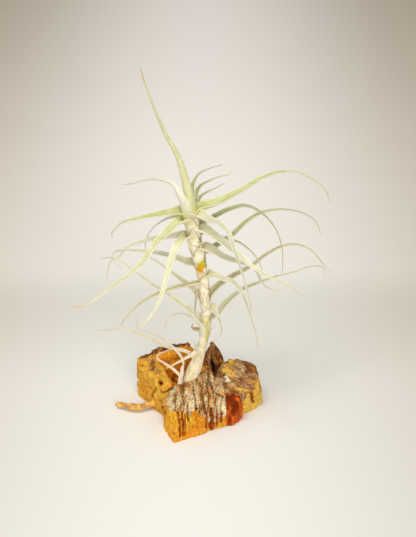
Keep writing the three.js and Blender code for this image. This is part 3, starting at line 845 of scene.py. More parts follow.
class Grower:
    """Geometry Nodes trees that make a piece along a route that carries its sizes."""

    # Rows of a tube lie closer together near its foot: the first one's pitch, and what is added
    FOOT_PITCH, ADDED_PITCH = 0.55, 0.45
    ROUND_EDGE = 0.6
    SCALE_STRAY, SCALE_RAISED = 0.35, 0.5
    SCALE_SPAN = ((0.7, 0.7, 0.5), (1.3, 1.3, 1.3))
    FLAKE_SPAN = ((0.4, 0.5, 0.2), (0.9, 1.6, 0.45))
    LUMP_DETAIL = 3.0
    BARK_FROM = 0.6

    def __init__(self) -> None:
        """Builds the trees."""
        self.blade = self._blade()
        self.limb = self._limb()
        self.flakes = self._flakes()

    @staticmethod
    def _tree(name: str, **sizes: int | float) -> tuple[Web, Mapping[str, Socket]]:
        """Starts a tree that takes a geometry, these sizes, with _ for a space, and a finish."""
        web = Web(bpy.data.node_groups.new(name, "GeometryNodeTree"))
        web.socket("Geometry", "Geometry")
        web.socket("Geometry", "Geometry", way="OUTPUT")
        for label, size in sizes.items():
            web.socket(label.replace("_", " "), "Int" if isinstance(size, int) else "Float", size)
        web.socket("Finish", "Material")
        return web, web.add("NodeGroupInput").outputs

    @staticmethod
    def _bend(web: Web, given: Mapping[str, Socket]) -> Bend:
        """Lays a closed tube along the route that comes in."""
        line = web.made("GeometryNodeMeshToCurve", {0: given["Geometry"]})
        feeds = {"Vertices": given["Around"], "Side Segments": given["Rows"]}
        tube = web.made("GeometryNodeMeshCylinder", {**feeds, "Radius": 1.0, "Depth": 1.0})
        across, lift, height = web.split(web.made("GeometryNodeInputPosition"))
        even = web.math("ADD", height, 0.5)
        pitch = web.math("MULTIPLY_ADD", even, Grower.ADDED_PITCH, Grower.FOOT_PITCH)
        share = web.times(even, pitch)
        spine, section, note = (
            web.add(
                "GeometryNodeSampleCurve",
                {"Curves": line, "Value": web.stored(name), "Factor": share},
                mode="FACTOR",
                data_type="FLOAT_VECTOR",
            ).outputs
            for name in ("inward", "section", "along")
        )
        inward = web.vector("NORMALIZE", spine["Value"])
        side = web.vector("NORMALIZE", web.vector("CROSS_PRODUCT", inward, spine["Tangent"]))
        places = (spine["Position"], spine["Tangent"], inward, side)
        return Bend(tube, across, lift, *places, web.split(section["Value"]), note["Value"])

    @staticmethod
    def _place(web: Web, mesh: Socket, place: Socket, **notes: Socket) -> Socket:
        """A smooth mesh with its points moved to a place, carrying notes by name."""
        for name, note in notes.items():
            mesh = web.store(mesh, name, note)
        moved = web.made("GeometryNodeSetPosition", {"Geometry": mesh, "Position": place})
        return web.made("GeometryNodeSetShadeSmooth", {0: moved})

    @staticmethod
    def _strew(
        web: Web, spread: Node, thing: Socket, turn: Socket, span: Sequence[Mark], seed: int
    ) -> Socket:
        """Puts a thing on scattered points.

        Args:
            web: The tree's web.
            spread: The node that scatters the points.
            thing: The mesh that is put on each.
            turn: How it is turned there.
            span: Its least and greatest scale.
            seed: Seed of the scale.

        Returns:
            The instances.
        """
        least, most = span
        feeds = {0: least, 1: most, "Seed": seed}
        varied = web.made("FunctionNodeRandomValue", feeds, data_type="FLOAT_VECTOR")
        feeds = {"Points": spread.outputs["Points"], "Instance": thing}
        feeds |= {"Rotation": turn, "Scale": varied}
        return web.made("GeometryNodeInstanceOnPoints", feeds)

    @staticmethod
    def _end(web: Web, given: Mapping[str, Socket], *parts: Socket) -> NodeTree:
        """Realizes, dresses and puts out the parts."""
        joined = web.add("GeometryNodeJoinGeometry")
        for part in reversed(parts):
            web.feed(joined, 0, part)
        real = web.made("GeometryNodeRealizeInstances", {0: joined.outputs[0]})
        feeds = {"Geometry": real, "Material": given["Finish"]}
        web.add("NodeGroupOutput", {0: web.made("GeometryNodeSetMaterial", feeds)})
        return web.tree

    def _blade(self) -> NodeTree:
        """A channelled leaf with rounded margins and a down of small pointed scales."""
        scales = {"Scale_Density": 0.0, "Scale_Length": 0.0006, "Scale_Width": 0.00012, "Seed": 1}
        web, given = self._tree("leaf_blade", Rows=70, Around=16, **scales)
        bend = self._bend(web, given)
        half, curl, thick = bend.section
        fat = web.math("POWER", web.math("ABSOLUTE", bend.lift), self.ROUND_EDGE)
        fat = web.times(fat, web.math("SIGN", bend.lift))
        offset = web.times(fat, web.times(thick, 0.5))
        radius = web.math("DIVIDE", half, curl)
        reach = web.math("SUBTRACT", radius, offset)
        angle = web.times(curl, bend.across)
        sideways = web.times(reach, web.math("SINE", angle))
        drop = web.times(reach, web.math("COSINE", angle))
        place = web.vector("ADD", bend.middle, web.vector("SCALE", bend.side, sideways))
        raised = web.vector("SCALE", bend.inward, web.math("SUBTRACT", radius, drop))
        place = web.vector("ADD", place, raised)
        across = web.join(bend.across, bend.lift, 0.0)
        notes = {"along": bend.note, "across": across, "heading": bend.tangent}
        skin = self._place(web, bend.tube, place, **notes)
        return self._end(web, given, skin, self._scales(web, given, skin))

    def _scales(self, web: Web, given: Mapping[str, Socket], skin: Socket) -> Socket:
        """Pointed scales that lean along the leaf, scattered over its skin."""
        feeds = {"Mesh": skin, "Density": given["Scale Density"], "Seed": given["Seed"]}
        spread = web.add("GeometryNodeDistributePointsOnFaces", feeds)
        loose = {0: (-self.SCALE_STRAY,) * 3, 1: (self.SCALE_STRAY,) * 3, "Seed": 3}
        stray = web.made("FunctionNodeRandomValue", loose, data_type="FLOAT_VECTOR")
        raised = (self.SCALE_RAISED,) * 3
        lean = web.vector("MULTIPLY_ADD", spread.outputs["Normal"], raised, stray)
        lean = web.vector("ADD", lean, web.stored("heading"))
        turn = web.made("FunctionNodeAlignRotationToVector", {"Vector": lean}, axis="Z")
        size = {"Radius Bottom": given["Scale Width"], "Depth": given["Scale Length"]}
        cone = {"Vertices": 3, "Side Segments": 1, "Radius Top": 0.0, **size}
        spike = web.made("GeometryNodeMeshCone", cone)
        scales = self._strew(web, spread, spike, turn, self.SCALE_SPAN, 5)
        real = web.made("GeometryNodeRealizeInstances", {0: scales})
        across, lift, _ = web.split(web.stored("across"))
        return web.store(real, "across", web.join(across, lift, 1.0))

    def _limb(self) -> NodeTree:
        """A round limb whose radius steps at each sheath of a spiral, with a rough skin."""
        sizes = {"Sheath_Pitch": 0.011, "Sheath_Flare": 0.0, "Lumps": 0.0, "Lump_Pitch": 0.003}
        web, given = self._tree("limb", Rows=160, Around=40, **sizes)
        bend = self._bend(web, given)
        radius, fade, _ = bend.section
        reach = web.split(bend.note)[0]
        turns = web.math("DIVIDE", web.math("ARCTAN2", bend.lift, bend.across), math.tau)
        pitch = web.times(given["Sheath Pitch"], 1 / MM)
        step = web.math("FRACT", web.math("ADD", web.math("DIVIDE", reach, pitch), turns))
        flare = web.times(step, given["Sheath Flare"])
        radius = web.math("ADD", radius, web.times(flare, fade))
        skin = web.vector("SCALE", bend.side, bend.across)
        skin = web.vector("ADD", skin, web.vector("SCALE", bend.inward, bend.lift))
        bare = web.vector("ADD", bend.middle, web.vector("SCALE", skin, radius))
        scale = web.math("DIVIDE", 1.0, given["Lump Pitch"])
        feeds = {"Vector": bare, "Scale": scale, "Detail": self.LUMP_DETAIL}
        noise = web.made("ShaderNodeTexNoise", feeds)
        lump = web.times(web.math("MULTIPLY_ADD", noise, 2.0, -1.0), given["Lumps"])
        place = web.vector("ADD", bare, web.vector("SCALE", skin, lump))
        # The sheath step is kept so that the finish can paint a shadow line at each sheath's edge
        across = web.join(turns, bend.lift, step)
        shape = self._place(web, bend.tube, place, along=bend.note, across=across)
        return self._end(web, given, shape)

    def _flakes(self) -> NodeTree:
        """Flat flakes of bark scattered over the part of a mesh that carries bark."""
        sizes = {"Density": 60000.0, "Flake_Size": 0.0009, "Clear_of_Floor": 0.002, "Seed": 11}
        web, given = self._tree("bark_flakes", **sizes)
        bark = web.math("GREATER_THAN", web.split(web.stored("coat"))[0], self.BARK_FROM)
        height = web.split(web.made("GeometryNodeInputPosition"))[2]
        above = web.math("GREATER_THAN", height, given["Clear of Floor"])
        feeds = {"Mesh": given["Geometry"], "Selection": web.times(bark, above)}
        feeds |= {"Density": given["Density"], "Seed": given["Seed"]}
        spread = web.add("GeometryNodeDistributePointsOnFaces", feeds)
        sphere = {"Radius": given["Flake Size"], "Subdivisions": 1}
        pebble = web.made("GeometryNodeMeshIcoSphere", sphere)
        turn = spread.outputs["Rotation"]
        return self._end(web, given, self._strew(web, spread, pebble, turn, self.FLAKE_SPAN, 7))

    @staticmethod
    def grow(tree: NodeTree, mesh: Mesh, sizes: Mapping) -> Mesh:
        """Runs a tree on a mesh.

        Args:
            tree: The Geometry Nodes tree.
            mesh: What goes in: a route, or the surface that something grows on.
            sizes: The tree's inputs by name.

        Returns:
            The plain mesh that comes out.
        """
        source = link(bpy.data.objects.new("seed", mesh))
        modifier = source.modifiers.new("grow", "NODES")
        modifier.node_group = tree
        inputs = {i.name: i.identifier for i in tree.interface.items_tree if i.in_out == "INPUT"}
        for label, value in sizes.items():
            modifier[inputs[label]] = value
        return taken(source)


def link(made: Object) -> Object:
    """Puts an object in the scene."""
    bpy.context.scene.collection.objects.link(made)
    return made


def taken(source: Object) -> Mesh:
    """The plain mesh that an object's modifiers give. The object goes."""
    graph = bpy.context.evaluated_depsgraph_get()
    mesh = bpy.data.meshes.new_from_object(
        source.evaluated_get(graph), preserve_all_data_layers=True, depsgraph=graph
    )
    bpy.data.objects.remove(source)
    return mesh


def route_mesh(line: np.ndarray, notes: Mapping[str, Sequence]) -> Mesh:
    """A line of points in metres that carries vectors by name.

    Args:
        line: The points, in millimetres.
        notes: What each point carries by name, as three columns or one array.

    Returns:
        The mesh, of vertices and edges only.
    """
    mesh = bpy.data.meshes.new("route")
    edges = [(i, i + 1) for i in range(len(line) - 1)]
    mesh.from_pydata((line * MM).tolist(), edges, [])
    for name, columns in notes.items():
        carry(mesh, name, columns)
    return mesh


def carry(mesh: Mesh, name: str, columns: Sequence) -> None:
    """Keeps a vector on each vertex of a mesh under a name, from three columns or one array."""
    rows = columns if isinstance(columns, np.ndarray) else np.stack(columns, axis=1)
    layer = mesh.attributes.get(name) or mesh.attributes.new(name, "FLOAT_VECTOR", "POINT")
    layer.data.foreach_set("vector", np.ascontiguousarray(rows, np.float32).ravel())


def vectors_of(rows: Sequence, name: str) -> np.ndarray:
    """A vector of each vertex of a mesh, one to a row."""
    flat = np.empty(len(rows) * 3, np.float32)
    rows.foreach_get(name, flat)
    return flat.reshape(-1, 3).astype(float)


def corners_of(mesh: Mesh) -> np.ndarray:
    """The vertices of a mesh in millimetres, one to a row."""
    return vectors_of(mesh.vertices, "co") / MM


def fit_out(name: str, mesh: Mesh, slot: str, *nodes: str) -> None:
    """Makes a mesh a piece of the plant.

    Args:
        name: The piece's name.
        mesh: Its mesh, in the frame.
        slot: Not used.
        nodes: The CAD nodes that it stands for.
    """
    mesh.name = name
    piece = link(bpy.data.objects.new(name, mesh))
    if nodes:
        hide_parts(*nodes)
    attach(piece, "root")
    log.info("%s: %d triangles", name, sum(len(p.vertices) - 2 for p in mesh.polygons))


def merged(meshes: Sequence[Mesh]) -> Mesh:
    """Several meshes as one, with what their vertices carry."""
    parts = [link(bpy.data.objects.new("part", mesh)) for mesh in meshes]
    with bpy.context.temp_override(active_object=parts[0], selected_editable_objects=parts):
        bpy.ops.object.join()
    mesh = parts[0].data
    bpy.data.objects.remove(parts[0])
    return mesh


@dataclass(frozen=True)
class Stain:
    """A coloured patch on the stem: where it is drawn, its half-sizes, and its colour."""

    right: float
    up: float
    wide: float
    tall: float
    channel: int
    strength: float = 1.0
    ragged: float = 0.35
    fades: Pair = (0.6, 1.15)

    def mask(self, right: np.ndarray, up: np.ndarray, rough: np.ndarray) -> np.ndarray:
        """How strongly each drawn point is stained, with a ragged edge."""
        reach = np.hypot((right - self.right) / self.wide, (up - self.up) / self.tall)
        return self.strength * (1 - ease(reach + self.ragged * rough, *self.fades))


@dataclass(frozen=True)
class Limb:
    """How a round limb is grown: its rows, its sides, its sheaths and its lumps, in millimetres."""

    rows: int
    around: int
    lumps: float
    lump_pitch: float
    sheath_flare: float = 0.0
    sheath_pitch: float = 11.0

    def grow(
        self,
        grower: Grower,
        line: np.ndarray,
        radius: np.ndarray,
        fade: np.ndarray | float,
        length: float,
        finish: Material,
    ) -> Mesh:
        """Grows the limb along a line.

        Args:
            grower: The trees that grow meshes.
            line: The limb's middle.
            radius: Its radius at each point of the line.
            fade: How much of the sheaths' flare shows there.
            length: The length that its sheaths and its streaks are counted over.
            finish: Its material.

        Returns:
            The limb's mesh.
        """
        share = np.linspace(0, 1, len(line))
        still = np.zeros(len(line))
        notes = {
            "inward": turning_normals(line, TOWARDS_EYE),
            "section": (radius * MM, still + fade, still),
            "along": (share * length, share, still),
        }
        sizes = {"Rows": self.rows, "Around": self.around, "Finish": finish}
        sizes |= {"Lumps": self.lumps * MM, "Lump Pitch": self.lump_pitch * MM}
        sizes |= {"Sheath Pitch": self.sheath_pitch * MM, "Sheath Flare": self.sheath_flare * MM}
        return grower.grow(grower.limb, route_mesh(line, notes), sizes)


@dataclass
class Stem:
    """The main stem: bare at its foot, wrapped in sheaths above, and closed at the crown."""

    limb: Limb = Limb(230, 40, lumps=0.12, lump_pitch=4.0, sheath_flare=0.42)
    room: float = 0.9
    flares: Pair = (0.15, 0.35)
    wrapped_from: Pair = (46, 60)
    crown_from: float = 0.93
    crown_tip: float = 0.35
    girth_blur: int = 6
    stain_roughness: Noise = Noise(1.4, 5, 1)
    stained_side: Pair = (-2.0, 0.5)
    route: tuple[Mark, ...] = (
        (-3.5, 14, 1), (0, 26, 1), (4, 36, 1), (7.3, 47, 0.5), (9.2, 58, 0), (9.8, 68, 0),
        (9, 79, 0), (8.2, 90, 0), (7, 98, 0), (5, 107, 0), (2.8, 115, 0), (1.4, 124, 0),
        (0, 133, 0), (-1.8, 141, 0), (-2.6, 147, 0),
    )
    girth: tuple[Pair, ...] = (
        (14, 5.2), (24, 5.3), (30, 5.1), (37, 4.0), (45, 3.0), (54, 3.2), (64, 4.0), (78, 3.9),
        (92, 4.0), (104, 4.9), (120, 5.2), (135, 5.2), (147, 4.2),
    )
    # The brown stains at (9.9, 105.8) and (12.6, 85) are painted shadow: the shade under a leaf's
    # base and the dark line between two sheath edges; the rest are the stem's own stains
    stains: tuple[Stain, ...] = (
        Stain(6.6, 103.2, 3.5, 3.6, 0), Stain(5.3, 100.0, 2.6, 4.2, 1),
        Stain(6.3, 96.0, 1.2, 3.0, 1, 0.7), Stain(9.9, 105.8, 1.4, 4.4, 2, 0.5),
        Stain(5.6, 120.5, 1.0, 4.5, 2, 0.8), Stain(10.6, 55, 1.8, 9.5, 0, 0.6),
        Stain(10.4, 64.5, 4.0, 4.0, 0, 0.3), Stain(12.6, 85, 1.0, 7.0, 2, 0.45),
        Stain(8.0, 118, 2.0, 4.0, 1, 0.15), Stain(-1.5, 28, 3.0, 4.0, 0, 0.25),
    )
    line: np.ndarray = field(init=False)
    tangents: np.ndarray = field(init=False)
    mouth: np.ndarray = field(init=False)
    core: np.ndarray = field(init=False)

    def __post_init__(self) -> None:
        """Lays the line that the leaves and sheaths are set on, with its two radii."""
        self.line = smooth_route(SIGHT.place(self.route), ROUTE_STEP)
        self.tangents = unit(np.gradient(self.line, axis=0))
        _, up = SIGHT.drawn(self.line)
        window = 2 * self.girth_blur + 1
        rough = np.pad(np.interp(up, *zip(*self.girth)), self.girth_blur, "edge")
        self.mouth = np.convolve(rough, np.full(window, 1 / window), "valid")
        share = np.linspace(0, 1, len(self.line))
        close = np.clip((share - self.crown_from) / (1 - self.crown_from), 0, 1)
        self.core = self.mouth - self.room * ease(up, *self.wrapped_from)
        self.core *= mix(1.0, self.crown_tip, close)

    def below(self, point: np.ndarray, depths: np.ndarray) -> Sequence[np.ndarray]:
        """The stem at depths below the place nearest a point.

        Args:
            point: A point on or beside the stem.
            depths: Distances down the stem from there, in millimetres.

        Returns:
            Points of the stem's middle, its directions upwards, and its own radius and its
            sheaths' there.
        """
        nearest = int(np.argmin(np.linalg.norm(self.line - point, axis=1)))
        index = np.clip(nearest - depths / ROUTE_STEP, 0, len(self.line) - 1)
        whole = np.arange(len(self.line))
        middle = np.stack([np.interp(index, whole, self.line[:, i]) for i in range(3)], axis=1)
        radii = (np.interp(index, whole, radius) for radius in (self.core, self.mouth))
        return middle, self.tangents[index.astype(int)], *radii

    def stained(self, mesh: Mesh) -> Mesh:
        """The mesh with the stains that its visible side carries."""
        points = corners_of(mesh)
        right, up = SIGHT.drawn(points)
        rough = self.stain_roughness.at(points)
        facing = ease(-points[:, 1], *self.stained_side)
        stains = np.zeros((len(points), len(STAINS)))
        for spot in self.stains:
            channel = stains[:, spot.channel]
            np.maximum(channel, spot.mask(right, up, rough) * facing, out=channel)
        carry(mesh, "stain", stains)
        return mesh

    def build(self, grower: Grower, finish: Material, sheaths: Sequence["Leaf"]) -> None:
        """Makes the stem with the old sheaths that still wrap it.

        Args:
            grower: The trees that grow meshes.
            finish: The material of stem and sheaths.
            sheaths: The sheaths whose leaves are gone.
        """
        flaring = ease(np.linspace(0, 1, len(self.line)), *self.flares)
        length = ROUTE_STEP * (len(self.line) - 1)
        core = self.limb.grow(grower, self.line, self.core, flaring, length, finish)
        parts = [core] + [sheath.mesh(grower, self, finish, i) for i, sheath in enumerate(sheaths)]
        fit_out("stem_in_sheaths", self.stained(merged(parts)), "stem", "stem")


@dataclass
class OffsetShoot:
    """The young shoot at the stem's foot."""

    limb: Limb = Limb(60, 32, lumps=0.1, lump_pitch=3.0, sheath_flare=0.35, sheath_pitch=6.0)
    radius: float = 2.2
    taper: float = 0.6
    rounded: float = 0.6
    rounds_from: float = 0.9
    length: float = 20.0
    route: tuple[Mark, ...] = ((-8.6, 14, -2.5), (-8.2, 22, -2.5), (-7, 28, -2.5), (-6.4, 33, -2.5))

    def build(self, grower: Grower, stem: Stem, finish: Material) -> None:
        """Makes the shoot."""
        line = smooth_route(SIGHT.place(self.route), LIMB_STEP)
        share = np.linspace(0, 1, len(line))
        radius = self.radius * (1 - self.taper * share)
        radius *= 1 - self.rounded * ease(share, self.rounds_from, 1.0)
        mesh = self.limb.grow(grower, line, radius, 1.0, self.length, finish)
        fit_out("offset_shoot_in_sheaths", stem.stained(mesh), "stem", "offset_shoot")


@dataclass
class Twig:
    """The short knobby twig at the cork's left side."""

    limb: Limb = Limb(150, 32, lumps=0.55, lump_pitch=2.2)
    radius: float = 2.0
    taper: float = 0.9
    knob: float = 0.3
    knobs: float = 3.4
    bud: float = 0.35
    buds: float = 47.0
    waist: float = 0.1
    end: float = 0.2
    blunt: float = 0.5
    rounded: float = 0.7
    rounds_from: float = 0.975
    length: float = 45.0
    route: tuple[Mark, ...] = (
        (-14, 5.5, 2), (-22, 6.6, 4.5), (-29, 6, 4.5), (-36, 3.6, 0.2), (-43, 3.8, 0.6),
        (-50, 5.2, 4.5), (-54, 5.5, 5),
    )

    def build(self, grower: Grower, finish: Material) -> None:
        """Makes the twig."""
        line = smooth_route(SIGHT.place(self.route), LIMB_STEP)
        share = np.linspace(0, 1, len(line))
        radius = self.radius + self.taper * (1 - share)
        radius += self.knob * np.sin(share * self.knobs * math.tau)
        radius += self.bud * np.maximum(0, np.sin(share * self.buds)) ** 3 - self.waist
        radius *= np.minimum(1, (1 - share) / self.end + self.blunt)
        radius *= 1 - self.rounded * ease(share, self.rounds_from, 1.0)
        mesh = self.limb.grow(grower, line, radius, 0.0, self.length, finish)
        fit_out("side_twig_bark", mesh, "twig", "side_twig")


@dataclass(frozen=True)
class LeafShape:
    """Sizes that all leaves share, in millimetres, radians and shares of the whole.

    A leaf's line starts in the sheath, as deep as sheath_foot times the leaf's own sheath below
    its first mark, and leaves the sheath's mouth after sheath_length times it.
    """

    width: float = 10.4
    thickness: float = 1.1
    edge: float = 0.5
    dead_thickness: float = 0.6
    sheath_thickness: float = 0.4
    curl_at_foot: float = math.radians(66)
    curl_at_tip: float = math.radians(70)
    rolled: float = math.radians(105)
    tip_share: float = 0.1
    closes_from: float = 0.93
    closes_in_width: float = 0.8
    closes_in_thickness: float = 0.6
    wrap: float = math.radians(165)
    open_at_mouth: float = math.radians(88)
    open_least: float = 0.45
    open_by_width: float = 0.5
    mouth: float = 7.5
    mouth_edge: float = 1.0
    hugs_below_mouth: float = 2.0
    spread: float = 13.0
    thins_from: Pair = (-2.0, 4.0)
    sheath_foot: float = 2.4
    sheath_top: float = 0.25
    sheath_length: float = 2.15
    sheath_marks: int = 9
    clear_of_stem: float = 0.2
    leans_over: Pair = (2.0, 22.0)
    row: float = 1.5
    fewest_rows: int = 16
    around: int = 18
    scales: float = 420000.0
    dead_scales: float = 60000.0


SHAPE = LeafShape()


@dataclass(frozen=True)
class Leaf:
    """One leaf or sheath: its name, its width as a share of the full one, and its drawn route."""

    name: str
    width: float
    route: tuple[Mark, ...]
    tone: LeafTone = LeafTone.PALE
    taper: float = 1.7
    sheath: float = 5.0
    blush: float = 0.25
    lean: float = 0.4
    side: Mark | None = None

    @property
    def dead(self) -> bool:
        """Whether the leaf has dried."""
        return self.tone in (LeafTone.STRAW, LeafTone.DRY, LeafTone.WITHERED)

    def laid(self, stem: Stem) -> tuple[np.ndarray, np.ndarray, np.ndarray, np.ndarray]:
        """The leaf's line with the sheath that wraps the stem below it.

        Args:
            stem: The stem that it sits on.

        Returns:
            The line, the direction to the leaf's hollow side along it, the distance along it from
            the sheath's mouth, and the radius of the sheath.
        """
        marks = SIGHT.place(self.route)
        out = np.array(self.side) if self.side else marks[1] - marks[0]
        out[2] = 0
        out /= np.linalg.norm(out)
        if self.sheath:
            foot, top = SHAPE.sheath_foot * self.sheath, SHAPE.sheath_top * self.sheath
            depths = np.linspace(foot, top, SHAPE.sheath_marks)
            middle, upwards, core, mouth = stem.below(marks[0], depths)
            away = unit(out - upwards * (upwards @ out)[:, None])
            radius = mix(core + SHAPE.clear_of_stem, mouth, 1 - depths / depths[0])
            marks = np.vstack([middle + away * radius[:, None], marks[1:]])
            out = away[0]
        line = smooth_route(marks, ROUTE_STEP)
        reach = lengths_along(line)
        inward = turning_normals(line, -out)
        if not self.sheath:
            return line, inward, reach, reach * 0
        reach = reach - self.sheath * SHAPE.sheath_length
        tangents = unit(np.gradient(line, axis=0))
        inward = inward + SIGHT.back * self.lean * ease(reach, *SHAPE.leans_over)[:, None]
        inward = unit(inward - tangents * np.sum(inward * tangents, axis=1)[:, None])
        return line, inward, reach, np.interp(reach, np.linspace(reach[0], 0, len(radius)), radius)

    def mesh(self, grower: Grower, stem: Stem, finish: Material, seed: int) -> Mesh:
        """Grows the leaf.

        Args:
            grower: The trees that grow meshes.
            stem: The stem that it sits on.
            finish: Its material.
            seed: Seed of its scales.

        Returns:
            The leaf's mesh.
        """
        line, inward, reach, round_stem = self.laid(stem)
        share = np.clip(reach / reach[-1], 0, 1)
        closing = ease(share, SHAPE.closes_from, 1.0)
        narrowing = mix(SHAPE.tip_share, 1.0, (1 - share) ** self.taper)
        half = self.width * SHAPE.width * narrowing * (1 - SHAPE.closes_in_width * closing) / 2
        curl = mix(SHAPE.rolled if self.dead else SHAPE.curl_at_foot, SHAPE.curl_at_tip, share)
        thick = mix(SHAPE.edge, SHAPE.thickness, 1 - share)
        thick = thick * (1 - SHAPE.closes_in_thickness * closing)
        if self.sheath:
            opened = min(1.0, SHAPE.open_least + SHAPE.open_by_width * self.width)
            hugging = 1 - ease(reach, -SHAPE.hugs_below_mouth, SHAPE.spread * self.width)
            wrapping = ease(-reach, SHAPE.mouth_edge, SHAPE.mouth)
            for angle, held in ((SHAPE.open_at_mouth * opened, hugging), (SHAPE.wrap, wrapping)):
                half, curl = mix(half, round_stem * angle, held), mix(curl, angle, held)
            thick = mix(thick, SHAPE.sheath_thickness, ease(-reach, *SHAPE.thins_from))
        if self.dead:
            thick = thick * SHAPE.dead_thickness
        notes = {
            "inward": inward,
            "section": (half * MM, curl, thick * MM),
            "along": (reach, share, np.full_like(share, self.blush)),
        }
        sizes = {
            "Rows": max(SHAPE.fewest_rows, round((reach[-1] - reach[0]) / SHAPE.row)),
            "Around": SHAPE.around,
            "Scale Density": SHAPE.dead_scales if self.dead else SHAPE.scales,
            "Seed": seed,
            "Finish": finish,
        }
        return stem.stained(grower.grow(grower.blade, route_mesh(line, notes), sizes))


